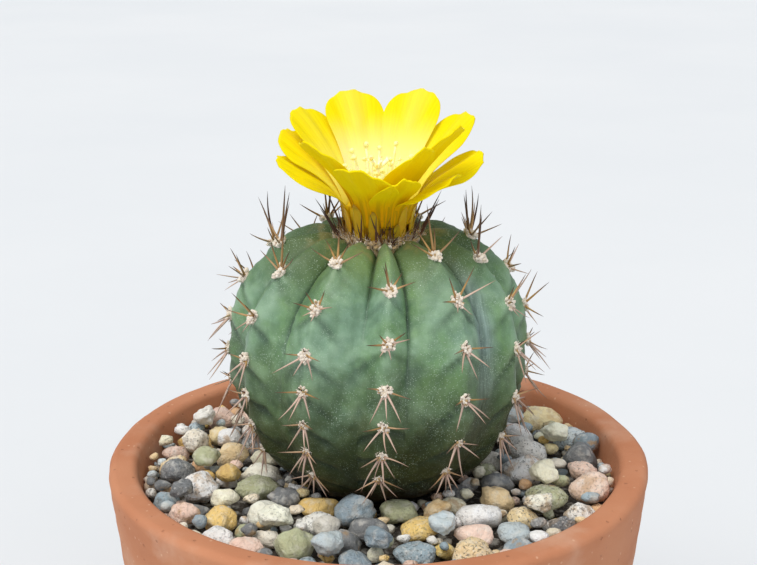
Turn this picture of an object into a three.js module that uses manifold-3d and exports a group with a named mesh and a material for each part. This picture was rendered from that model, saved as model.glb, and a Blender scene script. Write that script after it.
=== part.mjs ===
// A round, ribbed cactus in flower, planted in a plain clay pot with a gravel top dressing.
// Millimetres, +Z up. The origin is the centre of the pot's underside, and -Y is the front.
import * as THREE from "three";
import { mergeVertices } from "three/addons/utils/BufferGeometryUtils.js";
import Module from "manifold-3d";

const wasm = await Module();
wasm.setup();

// ---------------------------------------------------------------- driving dimensions
const GAP = 0.3; // left between pieces that touch
const SLIVER = 0.01; // features below this are noise from the cuts
const DEGREE = Math.PI / 180;

const POT_HEIGHT = 92;
const RIM_RADIUS = 65;
const RIM_THICKNESS = 7;
const RIM_BAND_HEIGHT = 23;
const RIM_STEP = 3; // how far the band stands out from the wall
const BASE_RADIUS = 44;
const FLOOR_THICKNESS = 7;
const FLOOR_RADIUS = 38; // of the inside, at the floor
const DRAIN_RADIUS = 7;

const GRAVEL_TOP = 90.8; // mean height of the gravel's surface
const GRAVEL_DEPTH = 11;
const GRAVEL_ROUGHNESS = 1;
const PEBBLE_COUNT = 16;

const STEM_RADIUS = 35; // at the rib crests
const STEM_HALF_HEIGHT = 33.6;
const LOWER_TAPER = 0.2; // how much narrower the globe's lower half is than its upper half
const STEM_CENTRE = GRAVEL_TOP + 24.8; // height of the globe's widest ring
const RIB_COUNT = 12;
const FIRST_RIB_AZIMUTH = 2 * DEGREE;
const RIB_TWIST = -0.076; // azimuth per radian of polar angle: the ribs run slightly askew
const FURROW_DEPTH = 5.4;
const CROWN_DIP = 6.5;
const CROWN_DIP_RADIUS = 9.5;
const ROOT_RADIUS = 8;
const ROOT_TIP_HEIGHT = 48;

// Height above the globe's centre of each rib's top areole. Neighbouring ribs alternate.
const TOP_AREOLES = [24.9, 29.5, 27.3, 29.2, 25.4, 29, 26.2, 29.4, 25, 28.6, 25.7, 28.8];
// The areoles' spacing along a crest, from the top. Some ribs carry them closer together.
const CLOSE_SPACING = [11.6, 10, 8.4, 7.7, 7.5, 7.8, 7.8];
const WIDE_SPACING = [12, 10.4, 11.4, 10.6, 8.8, 8.8];
const WIDE_RIBS = [1, 2, 5, 8];
const LAST_AREOLE_ABOVE_GRAVEL = 5.5;
const PAD_WIDTH = 4.6;
const PAD_HEIGHT = 5.4;
const PAD_THICKNESS = 2.2;
const SPINE_RADIUS = 0.42;
const SPINE_CLEARANCE = 4.5; // between a spine's tip and the gravel
const CROWN_SPINES = 14;
const CROWN_WOOL_RADIUS = 8.6;

const FLOWER_BASE = STEM_CENTRE + 28; // where the floral tube leaves the crown
const TUBE_TOP = FLOWER_BASE + 9.5;
const TUBE_RIM_RADIUS = 8.6;
const PETAL_THICKNESS = 0.5;
const PETAL_HALF_WIDTH = 7;
// Each petal's azimuth in degrees, how far it has opened, and its width as a share.
const PETALS = [
  [-161, 0.04, 1],
  [-122, 0.3, 1],
  [-107, 0.62, 0.9],
  [-84, 0.93, 0.9],
  [-48, 0.4, 0.9],
  [-12, 0.7, 0.8],
  [12, 1, 0.65],
  [27, 0.47, 0.7],
  [50, 1.02, 0.8],
  [55, 0.2, 0.75],
  [86, 0.88, 0.75],
  [111, 0.31, 1],
  [152.5, 0, 1],
];
const STAMEN_COUNT = 18;
const STYLE_TOP = TUBE_TOP + 13.5;
const STIGMA_LOBES = 7;

const colours = {
  clay: { color: 0xb9673f, roughness: 0.85 },
  soil: { color: 0x3a2a1e, roughness: 0.95 },
  gravel: { color: 0xb9a287, roughness: 0.8 },
  stem: { color: 0x5f8462, roughness: 0.55 },
  spine: { color: 0xa9805c, roughness: 0.5 },
  wool: { color: 0xcdb898, roughness: 0.95 },
  petal: { color: 0xf2d712, roughness: 0.4 },
  pollen: { color: 0xf3e68a, roughness: 0.6 },
};
const materials = Object.fromEntries(
  Object.entries(colours).map(([name, look]) => [
    name,
    new THREE.MeshStandardMaterial({ ...look, metalness: 0 }),
  ]),
);

const model = new THREE.Group();

// ---------------------------------------------------------------- solids and meshes
// A closed geometry as a solid that can be joined and cut.
function solidFrom(geometry) {
  const bare = new THREE.BufferGeometry();
  bare.setAttribute("position", geometry.getAttribute("position").clone());
  if (geometry.index) bare.setIndex(geometry.index.clone());
  const merged = mergeVertices(bare, 1e-4);
  return new wasm.Manifold(
    new wasm.Mesh({
      numProp: 3,
      vertProperties: merged.getAttribute("position").array,
      triVerts: new Uint32Array(merged.index.array),
    }),
  );
}

// A solid as a geometry again, without the slivers that cuts leave.
function geometryFrom(solid) {
  const mesh = solid.asOriginal().simplify(SLIVER).getMesh();
  const geometry = new THREE.BufferGeometry();
  geometry.setAttribute("position", new THREE.BufferAttribute(mesh.vertProperties, 3));
  geometry.setIndex(new THREE.BufferAttribute(mesh.triVerts, 1));
  geometry.computeVertexNormals();
  return geometry;
}

function joined(solids) {
  return solids.reduce((sum, next) => sum.add(next));
}

function place(name, geometry, material) {
  const mesh = new THREE.Mesh(geometry, materials[material]);
  mesh.name = name;
  model.add(mesh);
}

// A profile of [radius, height] pairs turned about +Z.
function turned(profile, segments) {
  const points = profile.map(([radius, height]) => new THREE.Vector2(radius, height));
  return new THREE.LatheGeometry(points, segments).rotateX(Math.PI / 2);
}

// A repeatable value from -1 to 1 for a place, the same at both ends of a seam.
function scatter(x, y, z = 0) {
  const [a, b, c] = [x, y, z].map((value) => Math.round(value * 8));
  const wave = 43758.5453 * Math.sin(a * 12.9898 + b * 78.233 + c * 37.719);
  return 2 * (wave - Math.floor(wave)) - 1;
}

// Moves every vertex of a geometry to where move() says.
function reshape(geometry, move) {
  const position = geometry.getAttribute("position");
  const point = new THREE.Vector3();
  for (let i = 0; i < position.count; i++) {
    point.fromBufferAttribute(position, i);
    const moved = move(point, i);
    position.setXYZ(i, moved.x, moved.y, moved.z);
  }
  return geometry;
}

// ---------------------------------------------------------------- pot and fill
const RIM_INNER_RADIUS = RIM_RADIUS - RIM_THICKNESS;

// The inside radius of the pot at a height.
function insideRadius(height) {
  const share = (height - FLOOR_THICKNESS) / (POT_HEIGHT - FLOOR_THICKNESS);
  return FLOOR_RADIUS + share * (RIM_INNER_RADIUS - FLOOR_RADIUS);
}

function pot() {
  const lip = 2; // radius of the rounded lip and edges
  const bandBottom = POT_HEIGHT - RIM_BAND_HEIGHT;
  const wallTop = RIM_RADIUS - 2 * RIM_STEP;
  const outline = new THREE.Path();
  outline.moveTo(DRAIN_RADIUS, 0);
  outline.lineTo(BASE_RADIUS - lip, 0);
  outline.absarc(BASE_RADIUS - lip, lip, lip, -Math.PI / 2, -0.2, false);
  outline.lineTo(wallTop, bandBottom - 0.6);
  outline.lineTo(wallTop + RIM_STEP, bandBottom);
  outline.lineTo(wallTop + RIM_STEP + 0.7, bandBottom + 0.8);
  outline.absarc(RIM_RADIUS - lip, POT_HEIGHT - lip, lip, 0.1, Math.PI / 2, false);
  outline.absarc(RIM_INNER_RADIUS + lip, POT_HEIGHT - lip, lip, Math.PI / 2, Math.PI, false);
  outline.lineTo(FLOOR_RADIUS, FLOOR_THICKNESS);
  outline.lineTo(DRAIN_RADIUS, FLOOR_THICKNESS);
  outline.closePath();
  const profile = outline.getPoints(2).map((point) => [point.x, point.y]);
  place("pot", turned(profile, 48), "clay");
}

function pottingMix(root) {
  const top = GRAVEL_TOP - GRAVEL_DEPTH - GAP;
  const bottom = FLOOR_THICKNESS + GAP;
  const block = turned(
    [
      [0, bottom],
      [insideRadius(bottom) - 2 * GAP, bottom],
      [insideRadius(top) - 2 * GAP, top],
      [0, top],
    ],
    32,
  );
  place("potting_mix", geometryFrom(solidFrom(block).subtract(root)), "soil");
}

// The gravel is one layer with a rough top. The stem's base and the loose pebbles lie in it.
function gravelLayer(cutters) {
  const bottom = GRAVEL_TOP - GRAVEL_DEPTH;
  const ringRadii = [32, 37, 42, 47, 52];
  const profile = [
    [0, bottom],
    [insideRadius(bottom) - 2 * GAP, bottom],
    [insideRadius(GRAVEL_TOP - 2) - 2 * GAP, GRAVEL_TOP - 2],
    ...ringRadii.reverse().map((radius) => [radius, GRAVEL_TOP]),
    [0, GRAVEL_TOP],
  ];
  const layer = reshape(turned(profile, 48), (point) => {
    const radius = Math.hypot(point.x, point.y);
    const onTop = point.z > GRAVEL_TOP - 0.5 && radius > 1;
    if (onTop) point.z += GRAVEL_ROUGHNESS * scatter(point.x, point.y);
    return point;
  });
  const cut = cutters.reduce((rest, cutter) => rest.subtract(cutter), solidFrom(layer));
  place("gravel_layer", geometryFrom(cut), "gravel");
}

// Loose pebbles, each a lumpy stone half sunk in the gravel.
function pebbleSolid(index, growth) {
  const azimuth = index * 137.5 * DEGREE;
  const radius = 46 + 5 * Math.sin(index * 2.1);
  const halves = [
    4.2 + 0.8 * Math.sin(index * 1.7),
    3.5 + 0.5 * Math.cos(index * 2.3),
    2.8 + 0.4 * Math.sin(index * 3.1),
  ];
  const stone = new THREE.IcosahedronGeometry(1, 0);
  reshape(stone, (point) => {
    const lump = 1 + 0.12 * scatter(point.x + index, point.y, point.z);
    point.multiplyScalar(lump);
    return point.set(
      point.x * (halves[0] + growth),
      point.y * (halves[1] + growth),
      point.z * (halves[2] + growth),
    );
  });
  stone.rotateZ(azimuth * 1.9);
  stone.translate(radius * Math.sin(azimuth), -radius * Math.cos(azimuth), GRAVEL_TOP + 0.6);
  return solidFrom(stone);
}

function pebbles() {
  for (let i = 0; i < PEBBLE_COUNT; i++) {
    const name = `pebble_${String(i + 1).padStart(2, "0")}`;
    place(name, geometryFrom(pebbleSolid(i, 0)), "gravel");
  }
}

// ---------------------------------------------------------------- stem
// A rib's crest as radius and height above the globe's centre, for a polar angle from the top.
function crest(polar) {
  const sine = Math.max(Math.sin(polar), 0);
  const cosine = Math.cos(polar);
  const taper = 1 - LOWER_TAPER * Math.max(-cosine, 0) ** 0.95;
  const radius = STEM_RADIUS * sine ** 0.876 * taper;
  const dip = polar < Math.PI / 2 ? CROWN_DIP * Math.exp(-((radius / CROWN_DIP_RADIUS) ** 2)) : 0;
  const height = STEM_HALF_HEIGHT * Math.sign(cosine) * Math.abs(cosine) ** 0.7 - dip;
  return new THREE.Vector2(radius, height);
}

// The crest's outward normal in the plane of radius and height.
function crestNormal(polar) {
  const step = 0.01;
  const along = crest(polar + step).sub(crest(polar - step)).normalize();
  return new THREE.Vector2(-along.y, along.x);
}

function furrowDepth(polar) {
  return FURROW_DEPTH * Math.max(Math.sin(polar), 0) ** 0.8 * (0.62 + 0.38 * Math.cos(polar));
}

// Where the furrow after each rib lies, as a share of the way to the next crest.
function furrowShare(rib) {
  if (rib === 0) return 0.3;
  if (rib === RIB_COUNT - 1) return 0.66;
  return 0.5;
}

function crestAzimuth(rib, polar) {
  return FIRST_RIB_AZIMUTH + (rib * 2 * Math.PI) / RIB_COUNT + RIB_TWIST * (polar - Math.PI / 2);
}

// A point in the model's frame, from a radius and height and an azimuth measured from -Y.
function around(radius, height, azimuth) {
  return new THREE.Vector3(
    radius * Math.sin(azimuth),
    -radius * Math.cos(azimuth),
    STEM_CENTRE + height,
  );
}

// A point of the stem's skin, grown outwards by growth. The furrows fall from the crests.
function skinPoint(polar, rib, step, stepsPerRib, growth) {
  const half = stepsPerRib / 2;
  const share = furrowShare(rib);
  const acrossRib = step <= half
    ? (share * step) / half
    : share + ((1 - share) * (step - half)) / half;
  const towardsFurrow = (step <= half ? step : stepsPerRib - step) / half;
  const azimuth = crestAzimuth(rib, polar) + (acrossRib * 2 * Math.PI) / RIB_COUNT;
  const depth = furrowDepth(polar) * towardsFurrow ** 1.7;
  const out = crestNormal(polar).multiplyScalar(growth - depth);
  const ring = crest(polar).add(out);
  return around(Math.max(ring.x, 0), ring.y, azimuth);
}

function stemSolid(growth) {
  const stepsPerRib = 6;
  const rows = [0, 9, 17, 25, 33, 42, 51, 60, 69, 77, 84, 90, 96, 103, 111, 120, 130, 142, 156, 180];
  const lathe = turned(rows.map((_, row) => [1, row]), RIB_COUNT * stepsPerRib);
  reshape(lathe, (_, i) => {
    const polar = rows[rows.length - 1 - (i % rows.length)] * DEGREE;
    const column = Math.floor(i / rows.length) % (RIB_COUNT * stepsPerRib);
    if (polar === 0 || polar > 3.1) {
      const pole = crest(polar);
      return around(0, pole.y + (polar ? -growth : growth), 0);
    }
    const rib = Math.floor(column / stepsPerRib);
    return skinPoint(polar, rib, column % stepsPerRib, stepsPerRib, growth);
  });
  return solidFrom(lathe).add(rootSolid(growth));
}

// The taproot below the globe, which goes down through the gravel into the potting mix.
function rootSolid(growth) {
  const top = STEM_CENTRE - 0.8 * STEM_HALF_HEIGHT;
  const taper = turned(
    [
      [0, ROOT_TIP_HEIGHT - growth],
      [1.2 + growth, ROOT_TIP_HEIGHT - growth],
      [3.5 + growth, ROOT_TIP_HEIGHT + 14],
      [ROOT_RADIUS + growth, top],
      [0, top],
    ],
    12,
  );
  return solidFrom(taper);
}

// ---------------------------------------------------------------- areoles and spines
// Walks down a crest and returns the polar angles of its areoles.
function areoleAngles(rib) {
  const angles = [];
  const step = 0.002;
  let polar = 30 * DEGREE;
  while (crest(polar).y > TOP_AREOLES[rib]) polar += step;
  const lowest = GRAVEL_TOP + LAST_AREOLE_ABOVE_GRAVEL - STEM_CENTRE;
  for (const spacing of WIDE_RIBS.includes(rib) ? WIDE_SPACING : CLOSE_SPACING) {
    if (crest(polar).y < lowest) break;
    angles.push(polar);
    let walked = 0;
    while (walked < spacing) {
      walked += crest(polar).distanceTo(crest(polar + step));
      polar += step;
    }
  }
  return angles;
}

// An areole's place and its own axes: out of the skin, up the rib, and to the side.
function areoleFrame(rib, polar) {
  const azimuth = crestAzimuth(rib, polar);
  const ring = crest(polar);
  const normal = crestNormal(polar);
  const centre = around(ring.x, ring.y, azimuth);
  const out = around(normal.x, normal.y - STEM_CENTRE, azimuth);
  const side = new THREE.Vector3(Math.cos(azimuth), Math.sin(azimuth), 0);
  const up = new THREE.Vector3().crossVectors(out, side);
  if (up.z < 0 && polar > 0.3) up.negate();
  return { centre, out, up, side };
}

// A spine is a slender three-sided needle from base to tip.
function needle(base, tip, radius) {
  const length = base.distanceTo(tip);
  const cone = new THREE.ConeGeometry(radius, length, 3, 1);
  cone.translate(0, length / 2, 0);
  const direction = tip.clone().sub(base).normalize();
  cone.applyQuaternion(
    new THREE.Quaternion().setFromUnitVectors(new THREE.Vector3(0, 1, 0), direction),
  );
  cone.translate(base.x, base.y, base.z);
  return solidFrom(cone);
}

// Directions as [lean from the skin's normal, clock angle from straight up, length].
const HIGH_SPINES = [
  [38, -22, 10.5],
  [44, 30, 9],
  [64, -82, 9],
  [64, 84, 9],
];
const LOW_SPINES = [
  [66, -78, 8],
  [66, 76, 8],
  [58, -140, 9],
  [58, 142, 9],
];

function areoleCluster(rib, polar, below) {
  const { centre, out, up, side } = areoleFrame(rib, polar);
  const base = centre.clone().addScaledVector(out, GAP + 0.5);
  const pad = new THREE.SphereGeometry(0.5, 6, 3);
  pad.scale(PAD_WIDTH, PAD_HEIGHT, 2 * PAD_THICKNESS);
  pad.applyMatrix4(new THREE.Matrix4().makeBasis(side, up, out));
  pad.translate(centre.x, centre.y, centre.z);
  const pieces = [solidFrom(pad)];
  const pattern = polar < 80 * DEGREE ? HIGH_SPINES : LOW_SPINES;
  for (const [lean, clock, length] of pattern) {
    const direction = out.clone().multiplyScalar(Math.cos(lean * DEGREE));
    direction.addScaledVector(up, Math.sin(lean * DEGREE) * Math.cos(clock * DEGREE));
    direction.addScaledVector(side, Math.sin(lean * DEGREE) * Math.sin(clock * DEGREE));
    const room = base.z - (GRAVEL_TOP + SPINE_CLEARANCE);
    const reach = direction.z < 0 ? Math.min(length, room / -direction.z) : length;
    const tip = base.clone().addScaledVector(direction, reach);
    pieces.push(needle(base, tip, SPINE_RADIUS));
  }
  // The lowest spine lies down the crest, and its tip is caught in the wool of the next areole.
  if (below !== undefined) {
    const next = areoleFrame(rib, below);
    const raised = centre.clone().addScaledVector(out, GAP + 1.3);
    const tip = next.centre.clone().addScaledVector(next.out, GAP + 1.1);
    pieces.push(needle(raised, tip, SPINE_RADIUS));
  }
  return pieces;
}

function ribSpines(skinCutter) {
  for (let rib = 0; rib < RIB_COUNT; rib++) {
    const angles = areoleAngles(rib);
    const clusters = angles.flatMap((polar, i) => areoleCluster(rib, polar, angles[i + 1]));
    const name = `spines_rib_${String(rib + 1).padStart(2, "0")}`;
    place(name, geometryFrom(joined(clusters).subtract(skinCutter)), "spine");
  }
}

// ---------------------------------------------------------------- crown and flower
// The wool of the youngest areoles rings the flower's foot, with dark upright spines in it.
function crownWool(cutters) {
  const ring = [];
  for (let i = 0; i <= 6; i++) {
    const angle = (i * 2 * Math.PI) / 6;
    ring.push([CROWN_WOOL_RADIUS + 2.5 * Math.cos(angle), FLOWER_BASE + 1.4 + 2.6 * Math.sin(angle)]);
  }
  ring[6] = ring[0];
  const pieces = [solidFrom(turned(ring, 18))];
  for (let i = 0; i < CROWN_SPINES; i++) {
    const azimuth = ((i + 0.5) * 2 * Math.PI) / CROWN_SPINES;
    const base = around(CROWN_WOOL_RADIUS + 0.6, FLOWER_BASE + 2 - STEM_CENTRE, azimuth);
    const reach = 4.5 + 1.5 * Math.sin(i * 2.4);
    const rise = 8.5 + 1.5 * Math.cos(i * 1.9);
    const tip = around(CROWN_WOOL_RADIUS + reach, FLOWER_BASE + 2 + rise - STEM_CENTRE, azimuth);
    pieces.push(needle(base, tip, SPINE_RADIUS));
  }
  const cut = cutters.reduce((rest, cutter) => rest.subtract(cutter), joined(pieces));
  place("crown_wool", geometryFrom(cut), "wool");
}

// The floral tube is a cup on a short neck. Its rim carries the petals.
function tubeSolid(growth) {
  const profile = [
    [0, FLOWER_BASE - 4],
    [5.2 + growth, FLOWER_BASE - 4],
    [6.7 + growth, FLOWER_BASE + 2],
    [7.4 + growth, FLOWER_BASE + 5.5],
    [TUBE_RIM_RADIUS + growth, TUBE_TOP],
  ];
  const closed = growth
    ? [...profile, [0, TUBE_TOP]]
    : [...profile, [5.4, TUBE_TOP], [4.3, TUBE_TOP - 3], [2.8, TUBE_TOP - 5], [0, TUBE_TOP - 5.5]];
  return solidFrom(turned(closed, 24));
}

// A petal's midline, as a curve in the plane of radius and height. An opening of 0 is the
// steepest and innermost, and 1 the flattest and outermost, so no two midlines cross.
function petalMidline(opening) {
  const foot = new THREE.Vector2(5.4 + 3 * opening, TUBE_TOP + GAP);
  const rise = new THREE.Vector2(7.2 + 1.9 * opening, TUBE_TOP + 5.5 - 0.8 * opening);
  const swell = new THREE.Vector2(13.4 + 1.6 * opening, TUBE_TOP + 15 - 10 * opening);
  const tip = new THREE.Vector2(21.6 + 2.2 * opening, TUBE_TOP + 23 - 12 * opening);
  return new THREE.CubicBezierCurve(foot, rise, swell, tip);
}

// A closed thin sheet wrapped about the flower's axis: it widens from a narrow foot and ends
// round and blunt.
function petalGeometry(azimuth, opening, width) {
  const midline = petalMidline(opening);
  const sheet = new THREE.BoxGeometry(1, 1, 1, 4, 6, 1);
  return reshape(sheet, (point) => {
    const along = 1 - (0.5 - point.y) ** 1.35;
    const middle = midline.getPoint(along);
    const roundEnd = Math.sqrt(1 - Math.max(0, (along - 0.7) / 0.32) ** 2);
    const halfWidth = Math.min(PETAL_HALF_WIDTH, 0.38 * middle.x) * width * roundEnd;
    const tangent = midline.getTangent(along);
    const turn = azimuth - (2 * point.x * halfWidth) / middle.x;
    const lift = point.z * PETAL_THICKNESS;
    return around(
      middle.x - tangent.y * lift,
      middle.y + tangent.x * lift - STEM_CENTRE,
      turn,
    );
  });
}

function petals() {
  PETALS.forEach(([azimuth, opening, width], i) => {
    const name = `petal_${String(i + 1).padStart(2, "0")}`;
    place(name, petalGeometry(azimuth * DEGREE, opening, width), "petal");
  });
}

// The stamens stand on a ring inside the cup, each a thread with an anther at its end.
function stamens() {
  const footRadius = 3.5;
  const footHeight = TUBE_TOP - 3.4;
  const ring = [
    [footRadius - 0.5, footHeight + 0.2],
    [footRadius + 0.3, footHeight + 0.2],
    [footRadius + 0.3, footHeight + 1.1],
    [footRadius - 0.5, footHeight + 1.1],
    [footRadius - 0.5, footHeight + 0.2],
  ];
  const pieces = [solidFrom(turned(ring, 16))];
  for (let i = 0; i < STAMEN_COUNT; i++) {
    const azimuth = (i * 2 * Math.PI) / STAMEN_COUNT;
    const rise = 9.5 + 2 * Math.sin(i * 2.4);
    const spread = 1.4 + 0.9 * Math.cos(i * 1.7);
    const base = around(footRadius - 0.1, footHeight + 0.7 - STEM_CENTRE, azimuth);
    const tip = around(footRadius + spread, footHeight + rise - STEM_CENTRE, azimuth);
    const anther = new THREE.OctahedronGeometry(0.62, 0);
    anther.translate(tip.x, tip.y, tip.z);
    pieces.push(needle(base, tip, 0.24), solidFrom(anther));
  }
  place("stamens", geometryFrom(joined(pieces)), "pollen");
}

// The style rises from the cup's floor and ends in a star of stigma lobes.
function pistil() {
  const foot = TUBE_TOP - 5.5 + GAP;
  const column = turned([[0, foot], [0.9, foot], [0.8, STYLE_TOP], [0, STYLE_TOP]], 8);
  const pieces = [solidFrom(column)];
  for (let i = 0; i < STIGMA_LOBES; i++) {
    const azimuth = (i * 2 * Math.PI) / STIGMA_LOBES;
    const base = around(0.2, STYLE_TOP - 0.6 - STEM_CENTRE, azimuth);
    const tip = around(2.6, STYLE_TOP + 1.4 - STEM_CENTRE, azimuth);
    pieces.push(needle(base, tip, 0.5));
  }
  place("pistil", geometryFrom(joined(pieces)), "pollen");
}

// ---------------------------------------------------------------- the whole object
const stemCutter = stemSolid(GAP);
const pebbleCutters = Array.from({ length: PEBBLE_COUNT }, (_, i) => pebbleSolid(i, GAP));

pot();
pottingMix(rootSolid(GAP));
gravelLayer([stemCutter, ...pebbleCutters]);
pebbles();
place("cactus_stem", geometryFrom(stemSolid(0)), "stem");
ribSpines(stemCutter);
crownWool([stemCutter, tubeSolid(GAP)]);
place("floral_tube", geometryFrom(tubeSolid(0).subtract(stemCutter)), "petal");
petals();
stamens();
pistil();

export default model;
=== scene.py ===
# %% [markdown]
# # A round cactus in flower, in a clay pot
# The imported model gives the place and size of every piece. This script gives each piece its
# final surface: a waxy ribbed skin, woolly cushions with spines, thin petals, rough gravel and
# unglazed clay. All lengths are metres, +Z is up, and -Y is the front of the plant.
#
# A plant could be sculpted by hand, but here each part of it follows a rule of growth: ribs
# repeat about the axis, cushions repeat down a rib, and spines repeat in a cushion. So each rule
# is written once, and seeded random numbers give every copy its own character.

# %% Load the frame
import math

import bmesh
import bpy
import numpy as np
from mathutils import Matrix, Vector


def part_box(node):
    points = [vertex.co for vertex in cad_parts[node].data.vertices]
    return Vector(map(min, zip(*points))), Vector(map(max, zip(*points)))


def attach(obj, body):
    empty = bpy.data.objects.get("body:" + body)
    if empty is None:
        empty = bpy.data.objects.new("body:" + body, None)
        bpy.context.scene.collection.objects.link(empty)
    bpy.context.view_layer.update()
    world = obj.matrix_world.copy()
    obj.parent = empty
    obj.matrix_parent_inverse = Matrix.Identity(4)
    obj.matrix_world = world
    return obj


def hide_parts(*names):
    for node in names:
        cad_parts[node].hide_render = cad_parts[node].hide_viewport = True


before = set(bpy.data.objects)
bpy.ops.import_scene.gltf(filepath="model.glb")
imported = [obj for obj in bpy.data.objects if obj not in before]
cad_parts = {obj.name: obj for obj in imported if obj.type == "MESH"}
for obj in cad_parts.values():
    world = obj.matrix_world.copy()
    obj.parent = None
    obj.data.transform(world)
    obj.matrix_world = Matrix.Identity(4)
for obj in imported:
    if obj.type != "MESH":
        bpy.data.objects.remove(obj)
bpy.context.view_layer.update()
scene = bpy.context.scene
MM = 0.001
ABOUT_A_TURN = 6.3
UP = np.array([[0.0, 0.0, 1.0]])

# %% [markdown]
# ## Driving sizes
# The height of the pot's top edge comes from the frame, and the pot and the plant both stand
# about its upright axis. The plant's shape is the same formula that shaped its solid, so its
# driving sizes are repeated here, in metres.

# %% Driving sizes
POT_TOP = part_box("pot")[1].z
RIM_RADIUS = 65 * MM
RIM_INNER_RADIUS = 58 * MM
GRAVEL_TOP = POT_TOP - 1.2 * MM
GRAVEL_DEPTH = 11 * MM
STEM_CENTRE = GRAVEL_TOP + 24.8 * MM
STEM_RADIUS = 35 * MM
STEM_HALF_HEIGHT = 33.6 * MM
LOWER_TAPER = 0.2
RIB_COUNT = 12
RIB_ANGLE = 2 * math.pi / RIB_COUNT
FIRST_RIB = math.radians(2)
RIB_TWIST = -0.076
FLOWER_BASE = STEM_CENTRE + 28 * MM
TUBE_TOP = FLOWER_BASE + 9.5 * MM
print("gravel at", round(GRAVEL_TOP, 4), "globe's centre at", round(STEM_CENTRE, 4))

# %% [markdown]
# ## Tools for meshes
# Every shape starts as a small template that a bmesh operator makes, such as a cone or a ball.
# Its points are then moved all at once as arrays, which is much quicker than a loop over
# vertices. `swarm` puts many copies of one template into one mesh.

# %% Read, write and copy templates
def template(make, **sizes):
    """A small mesh from one bmesh.ops.create_ call."""
    bm = bmesh.new()
    make(bm, **sizes)
    return to_mesh(bm, "template")


def to_mesh(bm, name):
    mesh = bpy.data.meshes.new(name)
    bm.to_mesh(mesh)
    bm.free()
    return mesh


def points_of(mesh):
    points = np.empty(len(mesh.vertices) * 3, np.float32)
    mesh.vertices.foreach_get("co", points)
    return points.reshape(-1, 3).astype(float)


def set_points(mesh, points):
    mesh.vertices.foreach_set("co", np.asarray(points, np.float32).ravel())
    mesh.update()


def set_marks(mesh, name, *channels):
    """Stores up to four numbers at every point, for the materials to read as one colour."""
    colours = np.ones((len(mesh.vertices), 4), np.float32)
    for index, channel in enumerate(channels):
        colours[:, index] = np.asarray(channel).ravel()
    stored = mesh.color_attributes.new(name, "FLOAT_COLOR", "POINT")
    stored.data.foreach_set("color", colours.ravel())


def swarm(source, count):
    bm = bmesh.new()
    for _ in range(count):
        bm.from_mesh(source)
    return to_mesh(bm, "swarm")


def joined(meshes):
    bm = bmesh.new()
    for mesh in meshes:
        bm.from_mesh(mesh)
    return to_mesh(bm, "joined")


print("mesh tools are ready")

# %% [markdown]
# ## Tools for arrays of small things
# Spines, hairs, tufts and stones are placed by the same few sums: a direction for each copy, two
# side axes square to it, and the template's points carried along them.

# %% Directions, needles and blobs
def unit(vectors):
    return vectors / np.linalg.norm(vectors, axis=-1, keepdims=True)


def side_axes(direction):
    """Two unit vectors square to each direction and to each other."""
    steep = np.abs(direction[:, 2:]) > 0.9
    helper = np.where(steep, [[1.0, 0.0, 0.0]], [[0.0, 0.0, 1.0]])
    first = unit(np.cross(helper, direction))
    return first, np.cross(direction, first)


def needle_template(sides, rings):
    """A needle of length 1 along z. Its radius swells at the foot and tapers to a fine tip."""
    bm = bmesh.new()
    bmesh.ops.create_cone(bm, cap_ends=True, segments=sides, radius1=1, radius2=1, depth=1)
    uprights = [e for e in bm.edges if abs(e.verts[0].co.z - e.verts[1].co.z) > 0.5]
    bmesh.ops.subdivide_edges(bm, edges=uprights, cuts=rings)
    for vert in bm.verts:
        along = vert.co.z + 0.5
        girth = (1 - along) ** 0.7 * 0.94 + 0.06 + 0.3 * math.exp(-((along / 0.07) ** 2))
        vert.co = (vert.co.x * girth, vert.co.y * girth, along)
    return to_mesh(bm, "needle")


def needles(source, feet, tips, girths, bends, tones, rng):
    """Curved needles from feet to tips. A bend is how far each one bows out at its middle."""
    count = len(feet)
    mesh = swarm(source, count)
    shape = points_of(source)
    axis = tips - feet
    first, second = side_axes(unit(axis))
    along = shape[None, :, 2:3]
    centre = feet[:, None] + axis[:, None] * along + bends[:, None] * 4 * along * (1 - along)
    around_axis = first[:, None] * shape[None, :, :1] + second[:, None] * shape[None, :, 1:2]
    girths = np.broadcast_to(girths, count)
    set_points(mesh, centre + around_axis * girths[:, None, None])
    set_copy_marks(mesh, shape[:, 2], tones, count, rng)
    return mesh


def blobs(source, centres, directions, sizes, tones, rng, lump=0.12):
    """Lumpy balls stretched along their own directions. Sizes are half sizes, side, side, along."""
    count = len(centres)
    mesh = swarm(source, count)
    shape = unit(points_of(source))
    first, second = side_axes(directions)
    wobble = 1 + lump * rng.uniform(-1, 1, (count, len(shape), 1))
    local = shape[None] * np.broadcast_to(sizes, (count, 3))[:, None] * wobble
    placed = first[:, None] * local[..., :1] + second[:, None] * local[..., 1:2]
    set_points(mesh, centres[:, None] + placed + directions[:, None] * local[..., 2:])
    set_copy_marks(mesh, 0.5 + 0.5 * shape[:, 2], tones, count, rng)
    return mesh


def set_copy_marks(mesh, height, tones, count, rng):
    """Stores for every copy its points' heights along it, its own tone and a number drawn for it."""
    copies = np.ones((count, len(height)))
    chance = rng.random(count)[:, None]
    tones = np.broadcast_to(tones, count)[:, None]
    set_marks(mesh, "marks", copies * height, copies * tones, copies * chance)


def ripple(points, wavelength, seed, octaves=3):
    """Smooth noise from -1 to 1, as a sum of waves in seeded directions."""
    rng = np.random.default_rng(seed)
    total = np.zeros(points.shape[:-1])
    for octave in range(octaves):
        for _ in range(5):
            wave = unit(rng.normal(size=3)) * 2 * math.pi / wavelength * 2**octave
            total += np.sin(points @ wave + rng.uniform(0, ABOUT_A_TURN)) / 1.7**octave
    return total / 4.5


print("array tools are ready")

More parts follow.
